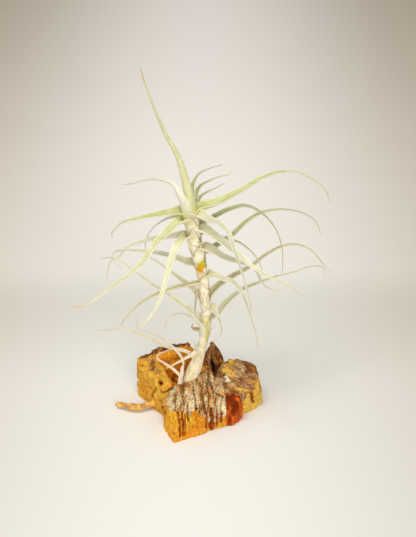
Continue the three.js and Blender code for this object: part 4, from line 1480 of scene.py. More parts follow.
LEAVES = (
    Leaf(
        "leaf_left_front_long", 1.05,
        ((0, 134.5, 0), (-9, 132, -8), (-18, 124.6, -17), (-27, 115, -26), (-36, 102.8, -35),
         (-46, 94.3, -43), (-58, 86, -50), (-70, 77.6, -55), (-78, 73.2, -57), (-85.4, 74.6, -58)),
        blush=0.7,
    ),
    Leaf(
        "leaf_crown_right_front", 1.15,
        ((-1, 138, 0), (6, 136.5, -8), (13, 133.3, -16), (20, 130.8, -24), (25.5, 125, -30),
         (29.5, 113.5, -35), (33.5, 101.5, -37), (37.5, 89, -38), (42, 71, -38)),
        LeafTone.SILVER, taper=2.6,
    ),
    Leaf(
        "leaf_spire", 1.0,
        ((-2, 139, 0), (-2, 150, -4.5), (-5, 163, -2), (-10, 179, 0), (-19, 195, 0),
         (-27, 214, -2), (-34, 233, -2), (-36.5, 242, -1)),
        LeafTone.GREEN, taper=1.9, blush=0.6, lean=0.0,
    ),
    Leaf(
        "leaf_crown_right_long", 1.3,
        ((-1, 139, 0), (9, 142.5, 4), (22, 148, 9), (36, 155.5, 15), (48, 163, 20),
         (60, 167.5, 25), (72, 168, 29), (83, 163.5, 31), (93, 155.5, 31), (97, 146, 29)),
        LeafTone.GREEN, taper=2.3,
    ),
    Leaf(
        "leaf_crown_left_back", 1.05,
        ((-1.5, 139, 0), (-7, 148.4, -6.5), (-10, 154, -5.5), (-13, 159, -2), (-18, 162, 4),
         (-25, 163.4, 11), (-34, 162.3, 18), (-42, 160, 23), (-49, 159.3, 26)),
        LeafTone.SILVER, taper=2.3, blush=0.25, lean=0.0, side=(-0.25, -1.0, 0.0),
    ),
    Leaf(
        "leaf_left_level", 1.08,
        ((-0.5, 136.5, 0), (-8, 138.6, 0), (-17, 138.6, -3), (-28, 137.3, -5), (-39, 134.8, -5),
         (-48, 132.7, -3), (-53, 129, -1), (-56.3, 124.2, 1), (-55.5, 121.8, 1)),
        LeafTone.GREEN, blush=0.35,
    ),
    Leaf(
        "leaf_crown_back_1", 0.6,
        ((-1.5, 141, 0), (0.5, 150, 6), (0.8, 159, 14), (5, 166.5, 24), (12.5, 170.5, 35),
         (21.7, 173.3, 48)),
        LeafTone.OLIVE_SHADED, sheath=2,
    ),
    Leaf(
        "leaf_crown_back_2", 0.6,
        ((-1.5, 138, 0), (2.5, 147, 11), (4.5, 156, 20), (10.5, 161, 31), (21, 165.2, 43),
         (25.5, 166, 48), (28.4, 169.8, 51)),
        LeafTone.GREEN, sheath=2,
    ),
    Leaf(
        "leaf_crown_back_3", 0.6,
        ((-1, 134, 0), (3, 144.5, 10), (6, 150.3, 16), (12, 154.4, 26), (18.5, 157.7, 35),
         (23, 160.3, 42)),
        LeafTone.OLIVE_SHADED, sheath=2,
    ),
    Leaf(
        "leaf_left_back_thin", 0.5,
        ((0, 131, 0), (-7, 135.5, 8), (-16.5, 135.6, 17), (-25, 130.8, 24), (-30, 125.5, 27),
         (-32.7, 119, 28), (-32.6, 113.4, 28)),
        LeafTone.OLIVE_SHADED, sheath=2,
    ),
    Leaf(
        "leaf_right_back_arch", 0.7,
        ((0.5, 130, 0), (13, 134.5, 7), (25, 141, 16), (37, 144, 23), (48, 139.5, 29),
         (58, 129, 33), (63, 115, 34), (63.5, 103, 33), (63, 96.5, 32)),
        LeafTone.OLIVE_SHADED, taper=1.35, blush=0.4,
    ),
    Leaf(
        "leaf_right_front_low_arch", 1.0,
        ((0.7, 128, 0), (10, 125.6, -8), (20, 119.5, -17), (31, 111, -25), (43, 101, -33),
         (55, 93.7, -39), (67, 88.2, -43), (77, 82, -45)),
        LeafTone.CHALK_LIT, taper=1.5,
    ),
    Leaf(
        "leaf_front_hanging", 0.95,
        ((1.4, 124, 0), (-4, 121.5, -8), (-9.5, 116.5, -18), (-14, 107, -28), (-17, 96.5, -37),
         (-20, 85.5, -45), (-24.5, 73.5, -51), (-31, 64.5, -54), (-38.5, 56.7, -55)),
        LeafTone.CREAM, taper=1.3,
    ),
    Leaf(
        "leaf_left_arch", 0.9,
        ((1.6, 122.5, 0), (-8, 122.6, 3), (-18, 122, 7), (-29, 120.4, 10), (-39, 117.3, 12),
         (-46, 114.3, 12), (-51, 108, 12), (-56.5, 105.5, 11), (-59, 98, 10), (-59, 92, 9),
         (-57, 90.6, 9)),
        LeafTone.SILVER, taper=1.4,
    ),
    Leaf(
        "leaf_right_thin", 0.5,
        ((2, 124, 0), (13, 124.2, 6), (24, 121, 12), (34, 118, 17), (43.5, 110, 20),
         (48.3, 102, 20), (49, 97.5, 19), (47.5, 94, 18)),
        LeafTone.OLIVE_SHADED, taper=1.3, sheath=2,
    ),
    Leaf(
        "leaf_back_upper", 0.85,
        ((2, 118, 0), (2.5, 126, 18), (1.5, 132, 36), (0, 133, 52), (-1, 127, 64), (0, 117, 70)),
        LeafTone.OLIVE_SHADED,
    ),
    Leaf(
        "leaf_right_front_upper", 1.0,
        ((3, 114, 0), (12, 112.6, -5), (22, 108, -11), (33, 104.4, -15), (42, 101.8, -17),
         (46, 96, -18), (49, 90, -18), (55, 86, -17), (61, 85, -16), (64, 87, -16)),
        LeafTone.SILVER,
    ),
    Leaf(
        "leaf_right_back_long", 0.8,
        ((4.2, 110, 0), (12, 112, 7), (19, 117, 15), (28, 123.2, 25), (39, 133.6, 37),
         (49, 139.3, 47), (61.5, 141.6, 56), (75.5, 139.8, 63), (86, 134, 67), (90.3, 124.6, 67)),
        LeafTone.OLIVE_SHADED, taper=1.35,
    ),
    Leaf(
        "leaf_left_back_long", 0.8,
        ((5, 104, 0), (-3, 104.2, 4), (-13, 108.2, 9), (-24, 111, 16), (-37, 112.5, 22),
         (-48, 112.8, 26), (-54, 112, 28), (-56, 108.5, 28), (-49.5, 100.4, 27)),
        LeafTone.SILVER, taper=1.4,
    ),
    Leaf(
        "leaf_right_front_lower", 0.72,
        ((6, 96.5, 0), (13, 95.3, -5), (22, 93, -13), (30, 89.5, -20), (35, 82.8, -25),
         (39, 72.5, -28), (42.5, 61.5, -29), (45.5, 51.5, -29), (46, 43.5, -28)),
        LeafTone.SILVER, taper=1.45,
    ),
    Leaf(
        "leaf_left_front_lower", 0.72,
        ((7, 91, 0), (0, 88.6, -4), (-9, 87.3, -8), (-20, 84, -12), (-30, 79.6, -16),
         (-39, 73.3, -19), (-46.5, 65.2, -21), (-51, 58.8, -22)),
        LeafTone.KHAKI, taper=1.3, blush=0.5,
    ),
    Leaf(
        "leaf_back_lower", 0.75,
        ((8, 88, 0), (8.5, 95, 18), (7.5, 101, 34), (6, 105, 50), (5, 101, 61), (4, 92, 67)),
        LeafTone.OLIVE_SHADED,
    ),
    Leaf(
        "leaf_right_back_middle", 0.75,
        ((8, 80, 0), (18, 87.4, 7), (29.5, 95, 17), (41, 101.5, 27), (52, 110, 36),
         (63, 115.8, 43), (74, 117, 48), (84, 112.8, 51), (91, 104.5, 51), (96, 98.7, 50)),
        LeafTone.KHAKI, taper=1.35, blush=0.5,
    ),
    Leaf(
        "leaf_left_back_middle", 0.66,
        ((8.4, 80, 0), (2, 84.3, 6), (-5.5, 90.8, 14), (-15, 98.2, 23), (-24, 104.8, 31),
         (-34, 111, 38)),
        LeafTone.CHALK_LIT, taper=1.2,
    ),
    Leaf(
        "leaf_right_curled_back", 0.6,
        ((9, 74, 0), (14.5, 72.5, -3), (17.4, 67.5, -5), (19.8, 61, -6), (20.6, 56.2, -6),
         (18.5, 52, -5), (15, 49.3, -4)),
        LeafTone.SILVER, sheath=3,
    ),
    Leaf(
        "leaf_left_back_lower", 0.7,
        ((9.4, 62, 0), (2.5, 67.8, 6), (-6.5, 74.7, 14), (-17, 82.3, 23), (-28, 89.3, 32),
         (-39, 97.6, 41), (-48, 104, 48), (-57, 107.9, 54), (-64.5, 107.2, 57)),
        LeafTone.CHALK_LIT, taper=1.3, blush=0.5,
    ),
    Leaf(
        "leaf_right_back_lower", 0.65,
        ((9, 66, 0), (17.5, 67.5, 6), (22, 74, 13), (34, 84.6, 24), (45, 89.6, 34),
         (58, 94.2, 44), (72, 98, 53), (84, 102, 58), (91, 101.5, 60), (93.5, 98.5, 60),
         (92.6, 95.5, 59)),
        LeafTone.CHALK_LIT, taper=1.3, blush=0.6,
    ),
    Leaf(
        "leaf_left_lowest", 0.78,
        ((9.2, 54, 0), (5.6, 60, -4), (-1, 66.2, -8), (-9, 68.6, -12), (-14.5, 66.8, -15),
         (-18, 62.3, -17), (-19.6, 58, -18)),
        LeafTone.SILVER, taper=1.3, sheath=3,
    ),
)

DRY_LEAVES = (
    Leaf(
        "dry_leaf_on_stem", 0.38,
        ((2.9, 84.5, -3), (2.5, 80, -3.4), (2.2, 75, -3.4), (2, 71, -3.2), (2.4, 67.5, -2.6)),
        LeafTone.WITHERED, sheath=0, blush=1.0,
    ),
    Leaf(
        "dry_leaf_hooked", 0.75,
        ((8.8, 56, 0.5), (2.5, 57, 2), (-0.4, 58.8, 2), (0.8, 62.2, 2)),
        LeafTone.WITHERED, sheath=2, blush=0.6,
    ),
    Leaf(
        "dry_leaf_crossing", 0.42,
        ((5.6, 43, 0.6), (0.5, 39.5, -4), (-5, 37, -7), (-11, 33.8, -9), (-19, 30, -9)),
        LeafTone.DRY, taper=0.9, sheath=3,
    ),
    Leaf(
        "dry_leaf_long", 0.5,
        ((3.6, 38, 1), (-5, 42, 3), (-12, 43.5, 3), (-20, 46.2, 2), (-29, 50.4, 0), (-37, 54.3, -1),
         (-43, 56.7, -2), (-48, 58.5, -2), (-53, 58, -2), (-60, 57.2, -1), (-67, 57.2, 0)),
        LeafTone.STRAW, taper=0.9, sheath=6,
    ),
    Leaf(
        "offset_leaf_looped", 0.4,
        ((-7.8, 24, -2.5), (-14, 30, 0), (-20.5, 34.3, 3), (-24.2, 36.6, 4.2), (-25, 38.7, 5),
         (-23.6, 40.6, 6), (-20, 42, 7), (-14.5, 44, 8), (-9, 44, 8.5)),
        LeafTone.DRY, taper=0.8, sheath=0,
    ),
    Leaf(
        "offset_leaf_long", 0.42,
        ((-6.4, 33.4, -2.5), (-8, 38, -2.5), (-12, 43.3, -2.5), (-17.5, 48.6, -2.5),
         (-25, 53.4, -5), (-33, 56, -6), (-37.8, 57.9, -6), (-38.6, 62, -6), (-37.5, 69, -5)),
        LeafTone.STRAW, taper=0.9, sheath=0, blush=0.5,
    ),
)

# Sheaths whose blades are gone, each with the short spur that is left
OLD_SHEATHS = (
    Leaf(
        "sheath_1", 0.9, ((9.6, 60, 0), (13.2, 64, -2.5), (15.5, 67.5, -3)),
        sheath=6, blush=0,
    ),
    Leaf(
        "sheath_2", 0.5, ((9.4, 54.5, 0), (13.4, 58, -1.5), (16.2, 59.6, -1.5)),
        sheath=4, blush=0,
    ),
    Leaf(
        "sheath_3", 0.6, ((5.6, 43, 0.6), (2.4, 47.4, -1.5), (0.8, 49.5, -1.5)),
        sheath=4, blush=0,
    ),
)


@dataclass(frozen=True)
class Chunk:
    """A chunk of bark.

    Its corners go anticlockwise from above, each with its place on the floor and on top. Its rings
    are given as (share of the height, share of the way in), and across is across its grain.
    """

    name: str
    crown: float
    corners: tuple[tuple[float, float, float, float, float], ...]
    furrowed: bool = False
    across: Mark = (1.0, 0.0, 0.0)
    sides: int = 220
    rings: tuple[Pair, ...] = (
        (0, 0), (0.14, 0), (0.3, 0), (0.46, 0), (0.62, 0), (0.78, 0.005), (0.9, 0.025),
        (0.98, 0.09), (1, 0.2), (1, 0.38), (1, 0.6), (1, 0.8), (1, 0.97),
    )
    finer: int = 4
    sunk: float = 3.0
    tension: float = 0.25
    furrow_pitch: float = 6.6
    furrow_depth: float = 1.6
    furrow_turn: float = math.radians(31)
    furrow_fade: float = 9.0
    furrow_rim: float = 0.7
    furrow_wander: float = 0.8

    def outline(self, corners: np.ndarray) -> np.ndarray:
        """A closed smooth line through corners, one sample for each side."""
        count = len(corners)
        at = np.arange(self.sides) / self.sides * count
        index = np.floor(at).astype(int)
        a, b, c, d = (corners[(index + k) % count] for k in (-1, 0, 1, 2))
        return curved(b, c, self.tension * (c - a), self.tension * (d - b), (at - index)[:, None])

    def points(self) -> np.ndarray:
        """The chunk's rings of points, from the floor to near the middle of its top."""
        corners = np.array(self.corners, float)
        floor = np.column_stack([corners[:, :2], np.full(len(corners), -self.sunk)])
        low, high = self.outline(floor), self.outline(corners[:, 2:])
        middle = corners[:, 2:].mean(axis=0)
        start = (self.sunk / (high[:, 2] + self.sunk))[:, None]
        rings, count = [], len(self.rings)
        for step in np.linspace(0, count - 1, self.finer * count):
            height, inset = (np.interp(step, range(count), row) for row in zip(*self.rings))
            point = low + (high - low) * (start + (1 - start) * height)
            outward = unit((point - middle) * [1, 1, 0]) * (1 - inset) + [0, 0, inset]
            inner = np.column_stack([np.tile(middle[:2], (self.sides, 1)), point[:, 2:]])
            inner[:, 2] += (middle[2] - point[:, 2]) * inset
            point = point + (inner - point) * inset
            point[:, 2] += self.crown * math.sin(inset * math.pi / 2)
            relief = self.lumps(point) + self.furrows(point) * (1 - inset) * self.furrowed
            rings.append(point + outward * relief[:, None])
        return np.vstack(rings)

    @staticmethod
    def lumps(points: np.ndarray) -> np.ndarray:
        """Gentle lumps of bark."""
        x, y, z = points.T
        broad = np.sin(0.21 * x + 1.1) * np.sin(0.19 * y + 0.4) * np.sin(0.25 * z + 0.9)
        return 1.3 * broad + 0.6 * np.sin(0.63 * x + 0.3 * z) * np.sin(0.57 * y - 0.4 * z + 2)

    def furrows(self, points: np.ndarray) -> np.ndarray:
        """Furrows that run over the top of the front chunk and down its face."""
        x, y, z = points.T
        across = x * math.cos(self.furrow_turn) + y * math.sin(self.furrow_turn)
        wander = self.furrow_wander * np.sin(z / 6 + across / 9)
        wave = np.cos((across + wander) / self.furrow_pitch * math.pi) ** 2
        cut = np.maximum(0, (1 + self.furrow_rim) * wave - self.furrow_rim)
        return -self.furrow_depth * cut * np.minimum(1, z / self.furrow_fade)

    def faces(self) -> list[tuple[int, ...]]:
        """The faces that join the rings and close both ends."""
        ring = np.arange(self.sides)
        after = (ring + 1) % self.sides
        last = (self.finer * len(self.rings) - 1) * self.sides
        band = np.stack([ring, after, after + self.sides, ring + self.sides], axis=1)
        quads = [band + low for low in range(0, last, self.sides)]
        return [tuple(q) for q in np.vstack(quads)] + [tuple(ring[::-1]), tuple(ring + last)]


CHUNKS = (
    Chunk("front", 1.5, (
        (-12, -41, -12.5, -39, 22.5), (6, -31, 5, -29.5, 25.5), (24, -20, 22, -18, 27.5),
        (26, -4, 20, -3, 31), (14, 9, 13, 7, 32), (-2, 9, -2, 4, 29.5), (-17, -4, -16, -5, 24.5),
        (-20.5, -24, -21, -20, 21)), furrowed=True),
    Chunk("right", 1.5, (
        (22, -14, 21, -8, 22), (36, -5, 33, -2, 21), (47, 4, 46, 6, 20), (52, 13, 49.5, 14, 22),
        (50, 26, 45, 22, 28), (34, 35, 33, 26, 31), (20, 31, 24, 22, 31.5), (14, 8, 17, 8, 30)),
        across=(0.5, 0.35, 0.8)),
    Chunk("left", 1.0, (
        (-13, 3, -14, 3, 24), (-22, 24, -23, 22, 28), (-32, 37, -31, 36, 30),
        (-41, 32, -41, 31, 29), (-39.5, 22, -39.5, 22, 27), (-31, 8, -30, 8, 25.5),
        (-19, -9, -18.5, -9, 22)),
        across=(0.7, -0.7, 0.0)),
    Chunk("back", 0.5, (
        (-22, 29, -22, 30, 29.5), (-4, 34, -5, 35, 32), (5, 40, 2, 40, 31), (-3, 46, -4, 45.5, 34),
        (-22, 42, -23, 41.5, 32), (-42, 33, -41, 33, 29), (-36, 24, -36, 25, 28))),
    Chunk("shard", 1.0, (
        (5, 25, 9, 27, 31), (14, 18, 14, 23, 31), (25, 22, 21, 22, 32), (23, 35, 20, 31, 36),
        (14, 41, 14, 38, 37.5), (6, 36, 9, 34, 33))),
    Chunk("wedge", 1.5, (
        (4, 3, 5, 6, 30), (16, 2, 13, 6, 32), (18, 12, 13, 12, 32), (6, 20, 7, 15, 29))),
    Chunk("knot", 1.5, (
        (22, -19, 23, -17, 19), (29, -19, 28, -17, 19.5), (35, -14, 33, -12, 18),
        (37, -6, 34, -5, 17), (24, -4, 24, -6, 19))),
    Chunk("floor", 0.5, (
        (-14, -8, -14, -4, 9), (14, 0, 14, 2, 10), (30, 10, 28, 10, 10), (22, 34, 20, 32, 10),
        (-2, 43, -2, 41, 10), (-33, 34, -32, 32, 9), (-28, 10, -26, 10, 9))),
)


class Spot(Enum):
    """What a mark on the cork is."""

    GOLD = "bare golden cork"
    DARK = "dark bark"
    CHAR = "blackened bark"
    GROOVE = "a red-brown groove"
    # Its darkness is painted shade in the crack
    CRACK = "a dark crack"
    # Painted near-black as the shade inside the hole
    PIT = "a dark hole"
    RED = "a red-brown hollow"
    CHIP = "a white fleck"

    @property
    def ragged(self) -> float:
        """How ragged its edge is."""
        return BROAD_EDGE if self in (Spot.GOLD, Spot.DARK) else FINE_EDGE


# The marks of each kind: half the mark's width, and then the drawn line that it follows
MARKS: Mapping[Spot, Sequence] = {
    Spot.GROOVE: (
        (1.25, (-9.2, 0.2), (-8.0, -17.1)), (0.85, (-6.9, 0.0), (-5.8, -17.0)),
        (0.5, (-4.8, -1.5), (-4.3, -17.0)), (0.85, (10.0, -0.5), (10.3, -10.9)),
        (1.8, (13.4, 2.2), (13.8, -11.5)), (0.65, (17.0, 10.0), (17.3, -9.6)),
        (1.2, (20.2, -0.9), (20.6, -6.5)),
    ),
    Spot.CRACK: (
        (0.75, (-2.9, 5.0), (-2.4, -6.5)), (0.75, (-12.4, 13.5), (-11.8, 1.6)),
        (0.75, (-6.4, 16.0), (-5.6, 2.5)), (0.68, (0.3, 17.8), (2.0, 9.0), (3.2, 1.6)),
        (0.75, (6.0, 20.3), (9.4, -0.9)), (0.68, (10.4, 21.0), (12.4, 2.9)),
        (0.6, (15.4, 12.0), (15.8, 0.0)),
        (1.1, (11.0, 31.6), (11.6, 23.5), (15.4, 13.5), (21.6, 10.4)),
        (0.9, (-13.6, 16.4), (-20.2, 13.5)), (0.5, (-25.3, 16.6), (-27.8, 10.4)),
        (1.0, (-14.0, 22.8), (-8.4, 21.0), (-3.4, 25.4), (1.6, 27.9)),
    ),
    # Pits: painted shade in holes; the first is the shadow at the shard's foot
    Spot.PIT: (
        (1.8, (13.8, 34.7), (15.2, 28.5)), (0.9, (3.2, 1.9)), (0.8, (-21.6, 21.0)),
        (0.6, (-23.2, 18.6)), (0.7, (22.6, 26.2)), (0.6, (27.4, 20.6)),
    ),
    Spot.RED: (
        (1.7, (-21.8, 20.7)), (0.8, (24.6, 35.4)), (0.8, (29.6, 35.0)),
        (1.3, (18.6, 39.5), (18.0, 37.5)), (1.4, (42.0, 12.5), (43.0, 7.5)),
        (0.8, (-19.8, 3.2), (-19.2, -1.4)),
    ),
    Spot.DARK: (
        (2.0, (-28.7, 36.3), (-28.2, 33.0)), (1.9, (-27.5, 29.9), (-25.5, 29.0)),
        (1.6, (-24.8, 27.2), (-23.0, 26.4)), (0.9, (42.8, 19.8), (43.6, 15.6)),
        (0.8, (47.2, 19.0), (47.6, 14.6)),
    ),
    Spot.CHAR: ((2.1, (-36.0, 38.4), (-28.0, 41.8), (-18.4, 44.6), (-0.9, 48.4)),),
    Spot.GOLD: (
        (2.6, (21.5, 33.0), (26.0, 35.0), (30.0, 34.6)),
        (2.6, (25.0, 33.0), (24.4, 29.0), (27.6, 26.4)),
        (1.6, (31.0, 16.6), (38.0, 15.4)), (3.9, (45.5, 19.0), (44.5, 5.0)),
        (4.0, (31.0, 3.5), (42.0, 5.0)), (1.9, (8.0, 33.5), (10.5, 31.0)),
        (0.8, (14.7, 12.5), (22.8, 13.5)), (1.6, (-19.3, 12.9), (-18.4, 2.9), (-17.2, -12.1)),
    ),
    Spot.CHIP: ((1.9, (23.8, 24.2)), (2.1, (24.8, 22.0))),
}


@dataclass(frozen=True)
class Marking:
    """A mark on the cork: what it is, its half-width, and the drawn line that it follows."""

    kind: Spot
    wide: float
    line: Sequence[Pair]

    def mask(self, right: np.ndarray, up: np.ndarray, rough: np.ndarray) -> np.ndarray:
        """How strongly each drawn point is marked, with a ragged edge."""
        drawn = np.stack([right, up], axis=1)
        off = np.full(len(drawn), np.inf)
        for start, end in zip(self.line, self.line[1:] or self.line):
            run = np.subtract(end, start)
            share = np.clip((drawn - start) @ run / max(run @ run, 1e-6), 0, 1)
            off = np.minimum(off, np.linalg.norm(drawn - start - share[:, None] * run, axis=1))
        return 1 - ease(off / self.wide + self.kind.ragged * rough, *MARK_FADES)


@dataclass
class Skin:
    """The cork's skin as arrays: its points and normals, where they are drawn, and their chunks."""

    points: np.ndarray
    normals: np.ndarray
    owner: np.ndarray
    right: np.ndarray = field(init=False)
    up: np.ndarray = field(init=False)
    ragged: np.ndarray = field(init=False)
    across: np.ndarray = field(init=False)
    along: np.ndarray = field(init=False)
    ridges: np.ndarray = field(init=False)
    broken: np.ndarray = field(init=False)
    edges: Noise = Noise(2.8, 71)
    sway: Noise = Noise(11.0, 73)
    tremor: Noise = Noise(3.5, 74, 1)
    ridge: Noise = Noise((2.8, 9.0, 13.0), 75)
    block: Noise = Noise((4.0, 5.0, 13.0), 77)
    blotch: Noise = Noise(4.0, 78)
    shift: Noise = Noise((6.0, 6.0, 4.5), 79)
    swayed: float = 1.6
    trembled: float = 0.4
    flattened: float = 0.3
    blotched: float = 0.6
    shifted: float = 0.9
    seen_from: Pair = (-0.05, 0.25)

    def __post_init__(self) -> None:
        """Works out where the points are drawn, and the grain and blocks of the bark there."""
        self.right, self.up = SIGHT.drawn(self.points)
        self.ragged = self.edges.at(self.points)
        grains = unit(np.array([chunk.across for chunk in CHUNKS]))[self.owner]
        self.across = np.sum(self.points * grains, axis=1)
        flat = self.points - grains * self.across[:, None]
        self.along = flat[:, 2] - flat[:, 1]
        wander = self.swayed * self.sway.at(self.points)
        self.across += wander + self.trembled * self.tremor.at(self.points)
        local = np.stack([self.across, self.along, flat[:, 0] * self.flattened], axis=1)
        self.ridges, self.broken = self.ridge.at(local), self.block.at(local)
        blotches = mix(self.ridges, self.blotch.at(self.points), self.blotched)
        self.ridges = np.where(self.on("right", "shard"), blotches, self.ridges)

    def on(self, *names: str) -> np.ndarray:
        """Whether each point lies on one of the named chunks."""
        return np.isin(self.owner, [i for i, chunk in enumerate(CHUNKS) if chunk.name in names])

    def marks(self) -> dict[Spot, np.ndarray]:
        """How strongly each point of the visible side is marked, by the kind of mark."""
        right = self.right + self.shifted * self.shift.at(self.points)
        seen = ease(self.normals @ SIGHT.back, *self.seen_from)
        found = {}
        for kind, rows in MARKS.items():
            marks = (Marking(kind, wide, line) for wide, *line in rows)
            masks = [mark.mask(right, self.up, self.ragged) * seen for mark in marks]
            found[kind] = np.max(masks, axis=0)
        return found


@dataclass(frozen=True)
class Depths:
    """How far each feature stands out of the cork, or lies in it, in millimetres."""

    coat: float = 0.45
    ridges: float = 0.9
    blocks: float = 0.5
    lumps: float = 1.0
    crumbs: float = 0.3
    bare_grains: float = 0.5
    bare_ridges: float = 0.3
    bare_grit: float = 0.3
    steps: float = 0.9
    seam: float = 0.5
    fissure: float = 0.4
    pores: float = 0.7
    groove: float = 1.0
    crack: float = 0.9
    chip: float = 1.0
    pit: float = 1.6
    red: float = 0.9
    knot: float = 0.3
    lobes: float = 1.9
    flat_below: float = 0.35
    full_above: float = 2.5


@dataclass(frozen=True)
class Shades:
    """How strongly each feature is darkened by painted shade, as if it lay in a hollow; char is
    blackened bark.
    """

    fissure: float = 0.75
    seam: float = 0.3
    pores: float = 0.6
    shard: float = 0.35
    crumbs: float = 0.4
    crumbs_left: float = 0.6
    lobes: float = 0.45
    crack: float = 0.9
    char: float = 0.7


@dataclass(frozen=True)
class Features:
    """What the cork is like at each point: shares from 0 to 1, and the noise of lobes and grit."""

    marks: Mapping[Spot, np.ndarray]
    bark: np.ndarray
    dark: np.ndarray
    inner: np.ndarray
    knot: np.ndarray
    groove: np.ndarray
    seam: np.ndarray
    fissure: np.ndarray
    pores: np.ndarray
    lobes: np.ndarray
    grit: np.ndarray


@dataclass
class CorkMount:
    """The chunk of virgin cork bark that the plant stands in."""

    voxel: float = 0.53
    wear: int = 8
    deep: Depths = Depths()
    shade: Shades = Shades()
    seam_width: float = 0.09
    fissured: Pair = (0.2, 0.6)
    pore_edge: Pair = (0.6, 0.9)
    pored_parts: Pair = (-0.3, 0.4)
    knot_front: Pair = (-0.3, 0.0)
    crumbled_from: Pair = (0.2, 0.7)
    lobe_gaps: Pair = (0.05, 0.5)
    cleared_from: Pair = (0.15, 0.6)
    top_from: Pair = (0.28, 0.5)
    back_from: Pair = (0.35, 0.6)
    lip_blend: Pair = (-0.5, 0.5)
    front_face: float = 0.1
    darkens_above: Pair = (15, 20)
    reddens_below: Pair = (6, 16)
    dark_mark_from: float = 0.05
    dark_mark_bark: float = 0.9
    knot_ragged: float = 0.2
    lobes_bent: float = 1.2
    cleared_ridges: float = 0.7
    left_painted_light: float = 0.35
    top_ragged: float = 0.3
    back_aside: float = 0.3
    back_ragged: float = 0.25
    lip_fringe: float = 4.0
    lip_ragged: float = 1.2
    dark_fringe: float = 3.0
    dark_tone: float = 0.6
    front_dark: Pair = (0.1, 0.6)
    right_dark: float = 0.8
    shard_dark: float = 1.6
    faces_right: float = 0.3
    inner_patches: float = 0.25
    inner_below: float = 0.6
    front_lip: tuple[Pair, ...] = (
        (-20, 3.5), (-18, 2.8), (-13.4, 0.4), (-8.4, 0.4), (-3.4, -1.5), (2.9, 1), (6.6, -1.5),
        (9, -4), (12, -7), (16, -7), (20, -4), (26, 0),
    )
    right_lip: tuple[Pair, ...] = (
        (14, 12), (22, 10), (31, 8.5), (37, 9.5), (42, 15), (50, 21),
    )
    pore: Noise = Noise(1.5, 41, 1)
    pored: Noise = Noise(9.0, 43, 1)
    lump: Noise = Noise(8.0, 51, 4)
    crumb: Noise = Noise(1.8, 53, 2)
    lobe: Noise = Noise((2.8, 2.8, 8.0), 57, 2)
    clearing: Noise = Noise(4.5, 61)
    fringe: Noise = Noise((1.6, 16, 9), 83)
    tone: Noise = Noise(7.0, 85)
    step: Noise = Noise((9.0, 9.0, 2.2), 87)
    grain: Noise = Noise(3.4, 89, 2)
    grit: Noise = Noise(2.4, 91, 2)

    def shell(self) -> tuple[Mesh, np.ndarray]:
        """All chunks joined into one even skin.

        Returns:
            The mesh in metres, and the number of the chunk that each vertex lies on.
        """
        clouds = [chunk.points() for chunk in CHUNKS]
        faces, start = [], 0
        for chunk, cloud in zip(CHUNKS, clouds):
            faces += [tuple(int(k) + start for k in face) for face in chunk.faces()]
            start += len(cloud)
        rough = bpy.data.meshes.new("chunks")
        rough.from_pydata((np.vstack(clouds) * MM).tolist(), [], faces)
        holder = link(bpy.data.objects.new("chunks", rough))
        remesh = holder.modifiers.new("skin", "REMESH")
        remesh.mode = "VOXEL"
        remesh.voxel_size = self.voxel * MM
        wear = holder.modifiers.new("worn_edges", "SMOOTH")
        wear.factor, wear.iterations = 0.5, self.wear
        skin = taken(holder)
        tree = KDTree(start)
        owners = np.repeat(np.arange(len(CHUNKS)), [len(cloud) for cloud in clouds])
        for number, point in enumerate(np.vstack(clouds)):
            tree.insert(Vector(point), number)
        tree.balance()
        return skin, np.array([owners[tree.find(point)[1]] for point in corners_of(skin)])

    def dress(self, mesh: Mesh, owner: np.ndarray) -> None:
        """Gives the skin its relief, and the coats and marks that its material reads.

        Args:
            mesh: The joined skin, changed in place.
            owner: The number of the chunk that each vertex lies on.
        """
        skin = Skin(corners_of(mesh), vectors_of(mesh.vertex_normals, "vector"), owner)
        found = self.features(skin)
        marks, bark, knot = found.marks, found.bark, found.knot
        points = skin.points + skin.normals * self.relief(skin, found)[:, None]
        points[:, 2] = np.where(points[:, 2] < self.deep.flat_below, 0.0, points[:, 2])
        mesh.vertices.foreach_set("co", (points * MM).astype(np.float32).ravel())
        red = np.maximum(found.groove, marks[Spot.RED])
        clearing = self.clearing.at(skin.points) - self.cleared_ridges * skin.ridges
        # Painted light: bare cork on the right chunk, and partly on the left, is lifted towards
        # straw; on the bark this marks where gold shows through
        straw = self.left_painted_light * skin.on("left") + skin.on("right")
        light = np.where(bark > 0.5, ease(clearing, *self.cleared_from), straw)
        ridge = np.where(knot > 0.5, found.lobes, skin.ridges)
        carry(mesh, "coat", (bark, found.dark, found.inner))
        # The third channel is painted shade, with the blackened bark
        carry(mesh, "marks", (red, knot, self.painted_shade_and_char(skin, found)))
        carry(mesh, "spots", (marks[Spot.PIT], marks[Spot.CHIP], light))
        carry(mesh, "fibre", (skin.across, skin.along, ridge))
        mesh.update()

    def features(self, skin: Skin) -> Features:
        """What the cork is like at each point of its skin."""
        marks = skin.marks()
        bark, dark, inner = self.coats(skin)
        bark = np.maximum(bark * (1 - marks[Spot.GOLD]), self.dark_mark_bark * marks[Spot.DARK])
        dark = np.where(marks[Spot.DARK] > self.dark_mark_from, 1.0, dark)
        bark, dark = (np.maximum(coat, marks[Spot.CHAR]) for coat in (bark, dark))
        facing = skin.normals @ SIGHT.back + self.knot_ragged * skin.ragged
        pored = ease(self.pored.at(skin.points), *self.pored_parts) * (1 - bark)
        return Features(
            marks,
            bark,
            dark,
            inner,
            knot=skin.on("knot") * ease(facing, *self.knot_front),
            groove=marks[Spot.GROOVE] * skin.on("front"),
            seam=(1 - ease(np.abs(skin.broken), 0.0, self.seam_width)) * bark,
            fissure=ease(-skin.ridges, *self.fissured) * bark,
            pores=ease(self.pore.at(skin.points), *self.pore_edge) * pored,
            lobes=self.lobe.at(skin.points + self.lobes_bent * skin.ragged[:, None]),
            grit=self.grit.at(skin.points),
        )

